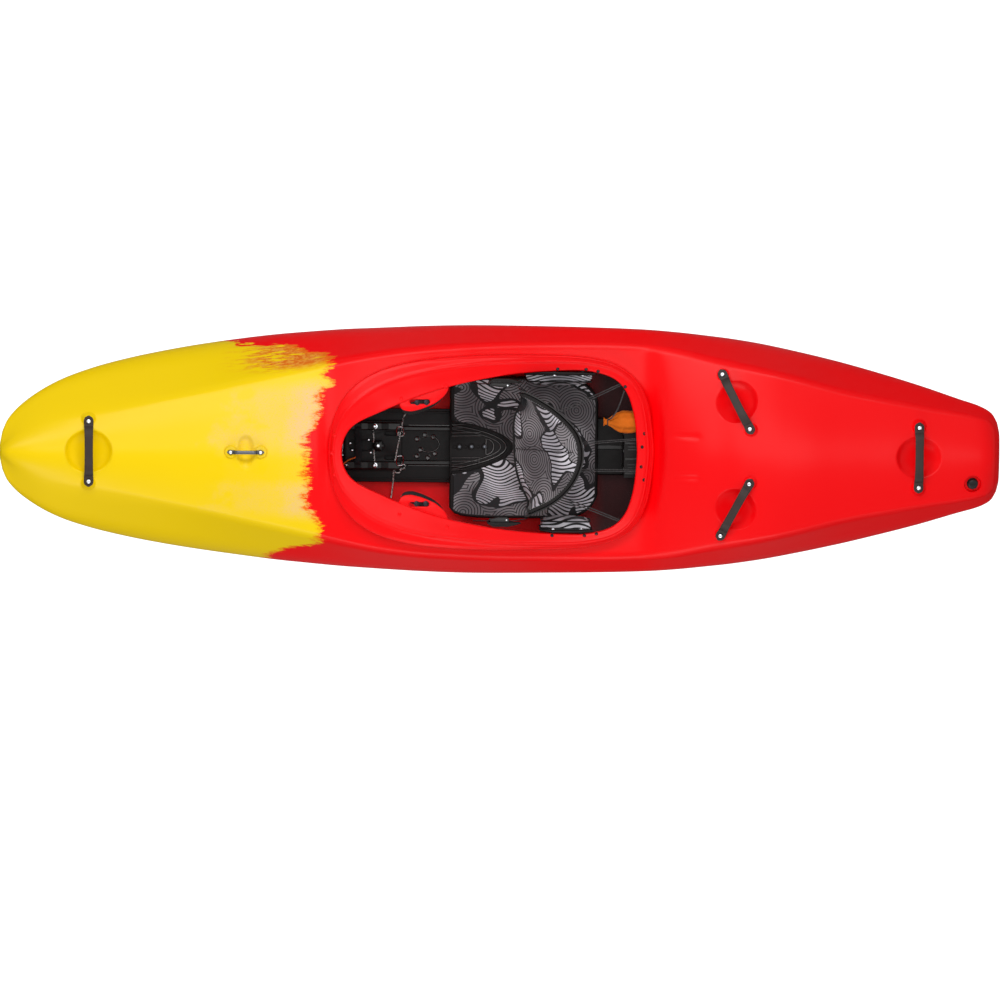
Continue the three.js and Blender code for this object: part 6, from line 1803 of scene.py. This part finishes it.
def make_ratchets():
    for name, side in SIDES:
        z, strap_y = 296, 190
        face = strap_y - STRAP_HALF - STRAP_GAP
        back_face = half_opening(-28) - 1.5
        leaf = [(-38, 192.6), (-30, 191.8), (30, 191.8), (52, 192.6), (58, 195), (44, 199.5),
                (20, back_face - 0.4),
                (-20, back_face - 0.4), (-34, 198)]
        leaf = [(x, side * y) for x, y in leaf][::side]
        base = prism(name + "_ratchet_back", leaf, z - 15, z + 15, BLACK, edge=2.2)
        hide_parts(name + "_ratchet_base")
        for up in (1, -1):
            outline = [(-28, 0), (24, 0), (24, -11), (17, -15), (-6, -15), (-28, -9)]
            points = [(x, side * (191.5 + y * 0.72)) for x, y in outline]
            plate(f"{name}_ratchet_cheek_{letter(up)}", [points], z + up * 13.5 - 1.5, z + up * 13.5 + 1.5,
                  SATIN, edge=0.7)
        for k in range(5):
            x = -24 + k * 4.6
            box(f"{name}_ratchet_tooth_{k}", (x, side * 196 - 3, z + 14), (x + 2.4, side * 196 + 3, z + 16.6),
                SATIN, edge=0.5)
        lever_body = name + "_lever"
        blade = [(-33, 0.4), (-30, 4.8), (12, 4.6), (17, 4), (17, 0.6), (0, 0), (-20, 0)]
        inward = Matrix.Translation((0, side * face, 0)) @ Matrix.Diagonal((1, -side, 1, 1))
        lever = prism(name + "_lever_blade", blade, z - 9.6, z + 9.6, SATIN, lever_body, 0.9, inward)
        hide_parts(name + "_ratchet_lever")
        pin = [(0, -14.8), (2.4, -14.8), (2.4, 14.8), (1.8, 15.3), (0, 15.3)]
        hinge = Matrix.Translation((17, side * (face - 2.5), z))
        lathe(name + "_lever_pin", pin, STEEL, lever_body, hinge, 24)
        y = side * (face - 4.9)
        for k in range(7):
            x = -30 + k * 3.4
            box(f"{name}_lever_grip_{k}", (x, y - 0.7, z - 8), (x + 1.5, y + 0.7, z + 8), BLACK, lever_body,
                0.3)

        def anchor(u, clear):
            share = u if side > 0 else 1 - u
            point, tangent = back_at(share)
            reach = BAND_BACK + STRAP_GAP + STRAP_HALF + clear
            return (point.x - tangent.y * reach - lean_at(u, z), point.y + tangent.x * reach, z)

        path = [(x, side * strap_y, z) for x in (-76, -40, 0, 26, 28)]
        path += [anchor(0, 4), anchor(0.03, 0.8), anchor(0.06, 1.0)]
        dense = curve_points(path, 14)
        strap = tube(name + "_ladder_band", dense, 1, SATIN, flat=(1.15, 9.8), up=(0, 0, 1), steps=0,
                     sides=16)
        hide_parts(name + "_ladder_strap")
        y = side * (strap_y - 1.5)
        for k in range(33):
            x = -74 + k * 3.1
            if not -29 < x < 25:
                box(f"{name}_ladder_tooth_{k}", (x, y - 0.7, z - 7), (x + 1.5, y + 0.7, z + 7), BLACK,
                    edge=0.25)


BRACE_EDGE, BRACE_TIP, BRACE_REACH, BRACE_BACK = 15, 6, 39, 11


def make_braces():
    def outline(side, inset):
        points = []
        for k in range(33):
            u = k / 32
            x = HOOK_LENGTH * (0.06 + u * 0.88)
            reach = read_shares(HOOK_SHARES, u)
            edge = half_opening(HOOK_X + x) - BRACE_EDGE - inset
            tip = half_opening(HOOK_X + HOOK_LENGTH * u) - BRACE_TIP - BRACE_REACH * reach + inset
            points.append((x, side * min(edge, tip)))
        for k in range(1, 12):
            x = HOOK_LENGTH * (0.94 - 0.88 * k / 12)
            points.append((x, side * (half_opening(HOOK_X + x) - BRACE_BACK - inset)))
        return points

    for name, side in SIDES:
        body = name + "_brace"
        brace = plate(name + "_brace_plate", [outline(side, 0)], -13.3, -8.3, BLACK, body, HOOK, 1.2)
        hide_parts(name + "_thigh_brace")
        pad = plate(name + "_brace_foam", [outline(side, 2)], -24.6, -13.6, FOAM, body, HOOK, 1.6,
                    resolution=3)
        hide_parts(name + "_thigh_pad")
        rim = outline(side, 0)[1:32]
        path = [HOOK @ Vector((x, y, -11.6)) for x, y in rim]
        tube(name + "_brace_trim", path, 2.2, BINDING, body, steps=0)
        for k, x in enumerate((50, 76)):
            place = HOOK @ Matrix.Translation((x, side * 139, 0.4))
            washer = [(0, -0.2), (7.4, -0.2), (7.4, 0.9), (6.8, 1.3), (0, 1.3)]
            lathe(f"{name}_brace_washer_{k + 1}", washer, BOLT, body, place, 40)
            top = place @ Matrix.Translation((0, 0, 1.2))
            screw_head(f"{name}_brace_screw_{k + 1}", top, 5.2, 3.2, BOLT, body,
                       node=f"{name}_brace_bolt_{k + 1}")


def make_pillar():
    front, step, back, step_height, half_width = 342.5, 441, 577, 196, 74.5
    sides = (0, 40, 74)
    xs = [float(x) for x in np.linspace(front, back, 20)]
    bottom = [(x, max(floor_at(x, y) for y in sides) + 0.8) for x in xs]
    top = [(x, min(ceiling_at(x, y) for y in sides) - 1.5) for x in [step] + [x for x in xs if x > step]]
    outline = bottom + top[::-1] + [(step, step_height), (front, step_height)]
    side = frame_from((0, 0, 0), (1, 0, 0), (0, -1, 0))
    block = prism("rear_pillar_body", outline, -half_width, half_width, BLACK, matrix=side, edge=3)
    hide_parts("rear_pillar")
    for k, y in enumerate((-62, -22, 22, 62)):
        box(f"pillar_rib_{k}", (344, y - 3, 194), (438, y + 3, 199), SATIN, edge=1.2)
    for k, y in enumerate((-46, -38, 4, 12)):
        box(f"pillar_slot_{k}", (352, y - 2, 195.2), (428, y + 2, 197.6), SATIN, edge=0.8)
    box("pillar_foot", (262, -78, 8), (346, 82, 34), BLACK, edge=3)
    box("pillar_foot_rail", (262, -6, 33), (346, 6, 38), SATIN, edge=1.5)
    for k, y in enumerate((-50, 0, 50)):
        box(f"pillar_front_rib_{k}", (339.5, y - 4, 30), (344, y + 4, 190), SATIN, edge=1)


CORDS = [("starboard_bungee", 0.3, (328.2, 188.2), 5, CORD), ("port_bungee", 0.75, (328.1, -188.1), 5, CORD),
         ("starboard_rear_cord", 0.47, (373.8, 37), 4, CORD), ("port_rear_cord", 0.6, (372.8, -50), 4, CORD)]


CORD_HEIGHT = 300


def band_back(share, distance):
    point, tangent = back_at(share)
    reach = BAND_BACK + distance
    return (point.x - tangent.y * reach - lean_at(share, CORD_HEIGHT), point.y + tangent.x * reach)


def make_cords():
    for name, share, end, diameter, mat in CORDS:
        clear = 0.15 + (lean_at(share, CORD_HEIGHT - diameter) - lean_at(share, CORD_HEIGHT)) * 0.5
        x, y = band_back(share, clear)
        lx, ly = band_back(share, clear + 2 * diameter)
        z = rim_top(end[0]) - 14
        run = Vector((end[0] - x, end[1] - y, 0)).normalized()
        twin = Vector((-run.y, run.x, 0)) * diameter * 0.62
        for k, sign in enumerate((1, -1)):
            middle = Vector(((x + end[0]) / 2, (y + end[1]) / 2, (CORD_HEIGHT + z) / 2 - 3))
            path = [Vector((x, y, CORD_HEIGHT)) + twin * sign * 0.5,
                    Vector((lx, ly, CORD_HEIGHT)) + twin * sign,
                    middle + twin * sign,
                    Vector((end[0], end[1], z)) - run * diameter + twin * sign * 0.8,
                    Vector((end[0], end[1], z)) + twin * sign * 0.5]
            section = round_section(diameter * 0.27)
            strand = sweep(f"{name}_strand_{'ab'[k]}", curve_points(path, 14), section, mat)
            strand.parent = None
            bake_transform(strand)
            if k == 0:
                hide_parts(name)


make_tray()
make_sled()
make_seat()
make_seat_pad()
make_backband()
make_hips()
make_ratchets()
make_braces()
make_pillar()
make_cords()


# Stow bag, its tie cord and small details on the rim
def make_bag():
    x0, length, y0, z0, width, height = 283, 112, 82.6, 222.6, 66, 52
    verts = []
    rows, sides = 44, 60
    for r in range(rows + 1):
        u = r / rows
        neck = min(u / 0.5, 1)
        neck = neck * neck * (3 - 2 * neck)
        tail = math.sqrt(max(1 - max((u - 0.62) / 0.38, 0) ** 2.6, 0))
        flare = 0.2 * math.exp(-(u / 0.035) ** 2)
        radius = max((0.17 + 0.83 * neck) * tail + flare, 0.0)
        for k in range(sides):
            turn = 2 * math.pi * k / sides
            fold = (0.13 * (1 - neck) + 0.03) * math.cos(9 * turn + 0.6 + 0.8 * u)
            gather = 1 + fold + 0.03 * soft_wave(r * 9, k * 7)
            y = y0 + width / 2 * 0.93 * radius * gather * math.cos(turn)
            z = z0 + height / 2 * 0.93 * radius * gather * math.sin(turn)
            verts.append((x0 + 1 + (length - 2) * u, y, z))
    bag = make_object("stow_bag_cloth", verts, tube_faces(rows + 1, sides), BAG, smooth=60)
    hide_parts("stow_bag")
    loop = [(x0 + 12, y0 + 9.2 * math.cos(t), z0 + 8 * math.sin(t)) for t in np.linspace(0, 2 * math.pi, 30)]
    tube("stow_bag_tie", loop, 1.4, CORD, steps=0)
    top = z0 + 24
    end_z = rim_top(339) - 14
    path = [(x0 + 12, y0 + 6, z0 + 8), (x0 + 24, y0 + 14, top), (x0 + 40, y0 + 40, (top + end_z) / 2 - 2),
            (337, 163.3, end_z), (339, 171.3, end_z)]
    cord = tube("bag_tie_cord", path, 1.9, CORD, steps=12)
    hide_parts("bag_cord")


# Photo places of the small screws and moulded dimples round the rim, in millimetres
RIM_SCREWS = [(150, 215.5), (229, 215.5), (261, 214), (330.5, 176), (146, -222), (228, -221), (260, -220)]
RIM_DOTS = [(396.6, 54), (390.5, 17), (388.6, -38), (396.6, -74)]
RIM_DIMPLES = [(-274, 150), (-146, 184), (-277, -168), (-146, -204), (-455, 48), (-462, 0), (-455, -60)]


def rim_screw(name, x, y, radius, mat, height):
    nearest = min(range(len(opening)), key=lambda k: (opening[k] - Vector((x, y))).length)
    distance = (Vector((x, y)) - opening[nearest]).length
    if (Vector((x, y)) - opening[nearest]).dot(across[nearest]) < 3:
        distance = 5.5
        x, y = opening[nearest] + across[nearest] * distance
    span = (ridge[nearest] - opening[nearest]).length
    z = rim_top(x) + rim_shape(distance, span)
    matrix = Matrix.Translation((x, y, z))
    profile = [(0, -3), (radius * 1.2, -3), (radius * 1.2, 0.1), (radius, height * 0.6)]
    profile += [(radius * 0.75, height)]
    profile += [(radius * 0.5, height * 0.9), (radius * 0.42, height * 0.2), (0, height * 0.1)]
    lathe(name, profile, mat, matrix=matrix, sides=28)


def make_rim_details():
    kinds = (("rim_screw", RIM_SCREWS, 4, BOLT, 2), ("rim_rear_screw", RIM_DOTS, 4, BLACK, 1.2),
             ("rim_dimple", RIM_DIMPLES, 4.6, HULL, 1.6))
    for name, places, radius, mat, height in kinds:
        for k, (x, y) in enumerate(places):
            rim_screw(f"{name}_{k}", x, y, radius, mat, height)


# Cords that lie over the tray ahead of the seat
def make_floor_cords():
    runs = {
        "tray_cord_front": ([(-263, 122, 20), (-262, 102, 33), (-275, 78, 34), (-281, 46, 47), (-288, 10, 55),
                             (-296, -34, 55), (-301, -62, 50), (-303, -98, 33), (-306, -128, 22),
                             (-309, -150, 24)], 2.0, FLECK_CORD),
        "sled_cord_rear": ([(-362, 62, 56), (-359, 40, 57), (-357, 0, 54), (-356, -30, 56), (-352, -60, 56)],
                           1.9, FLECK_CORD),
        "tray_webbing": ([(-300, 60, 52), (-288, 52, 58), (-284, 40, 56)], 2.4, WEBBING),
    }
    for name, (path, radius, mat) in runs.items():
        tube(name, path, radius, mat, "bulkhead", steps=10)
    for k, (x, y) in enumerate([(-281, 34), (-277, -58), (-290, -70)]):
        turns = np.linspace(0, 5.6, 16)
        loop = [(x + 9 * math.cos(t), y + 6.5 * math.sin(t), 54 + 2 * math.sin(2 * t)) for t in turns]
        tube(f"tray_knot_{k}", loop, 1.8, FLECK_CORD, "bulkhead", steps=0)


make_bag()
make_rim_details()
make_floor_cords()


# Studio: white surroundings, soft panels and the camera over the deck
# The floor is white to the camera and throws little light up the sides
def flat_material(name, rgb, strength):
    s = Shader(name, "backdrop")
    grain = s.noise(s.place, 3, 2, 0.5)
    s.set(Base_Color=s.mix(s.times(grain, 0.02), linear(*rgb), linear(150, 150, 150)), Roughness=0.9)
    seen = s.node("ShaderNodeLightPath").outputs["Is Camera Ray"]
    s.set(Emission_Color=linear(255, 255, 255), Emission_Strength=s.times(seen, strength),
          Specular_IOR_Level=0.0)
    return s.mat


LIT_STRENGTH, SEEN_STRENGTH, FLOOR_STRENGTH = 0.34, 1.0, 1.2


def make_studio():
    mesh = bpy.data.meshes.new("studio_floor")
    size, depth = 14.0, -0.002
    corners = [(-size, -size, depth), (size, -size, depth), (size, size, depth), (-size, size, depth)]
    mesh.from_pydata(corners, [], [(0, 1, 2, 3)])
    floor = add_object("studio_floor", mesh)
    mesh.materials.append(flat_material("studio_white", (140, 140, 140), FLOOR_STRENGTH))
    floor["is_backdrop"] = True
    world = bpy.data.worlds.new("studio_world")
    world.use_nodes = True
    bpy.context.scene.world = world
    tree = world.node_tree
    tree.nodes.clear()
    out = tree.nodes.new("ShaderNodeOutputWorld")
    path = tree.nodes.new("ShaderNodeLightPath")
    mix = tree.nodes.new("ShaderNodeMixShader")
    for place, strength in ((1, LIT_STRENGTH), (2, SEEN_STRENGTH)):
        white = tree.nodes.new("ShaderNodeBackground")
        white.inputs[0].default_value = (1, 1, 1, 1)
        white.inputs[1].default_value = strength
        tree.links.new(white.outputs[0], mix.inputs[place])
    seen = path.outputs["Is Camera Ray"]
    for kind in ("Is Glossy Ray", "Is Transmission Ray"):
        either = tree.nodes.new("ShaderNodeMath")
        either.operation = "MAXIMUM"
        tree.links.new(seen, either.inputs[0])
        tree.links.new(path.outputs[kind], either.inputs[1])
        seen = either.outputs[0]
    tree.links.new(seen, mix.inputs[0])
    tree.links.new(mix.outputs[0], out.inputs[0])


def panel(name, place, aim, size, power):
    light = bpy.data.lights.new(name, "AREA")
    light.shape = "RECTANGLE"
    light.size = size[0]
    light.size_y = size[1]
    light.energy = power
    obj = add_object(name, light)
    obj.location = place
    direction = Vector(aim) - Vector(place)
    obj.rotation_euler = direction.to_track_quat("-Z", "Y").to_euler()


make_studio()
# Each panel: where it is, where it aims, its length and breadth in metres and its power in watts
panel("key_panel", (-0.4, 2.0, 3.0), (0, 0, 0.25), (4.2, 0.8), 62)
panel("port_panel", (-0.3, -2.6, 2.0), (0, 0, 0.2), (3.6, 0.7), 34)
panel("top_panel", (0.1, 0.3, 3.4), (0, 0, 0), (3.0, 1.2), 24)

CAMERA_LEAN = math.radians(4.5)
CAMERA_TURN = math.radians(0.5)
CAMERA_DISTANCE = 12
AIM_X, AIM_Y, AIM_Z = -0.0095, -0.139, 0.2
camera_data = bpy.data.cameras.new("photo_camera")
camera = add_object("photo_camera", camera_data)
camera_data.sensor_width = 36
camera_data.lens = 155.3
camera_data.clip_end = 60
back_step, height = CAMERA_DISTANCE * math.sin(CAMERA_LEAN), CAMERA_DISTANCE * math.cos(CAMERA_LEAN)
camera.location = (AIM_X, AIM_Y + back_step, AIM_Z + height)
camera.rotation_euler = (-CAMERA_LEAN, 0, CAMERA_TURN)
bpy.context.scene.camera = camera
bpy.context.scene.view_settings.view_transform = "Standard"

bounds_at_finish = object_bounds()


def corners_of(bounds):
    try:
        return [[round(float(v), 5) for v in corner] for corner in bounds]
    except TypeError:
        return str(bounds)


{"load": corners_of(bounds_at_load), "finish": corners_of(bounds_at_finish)}
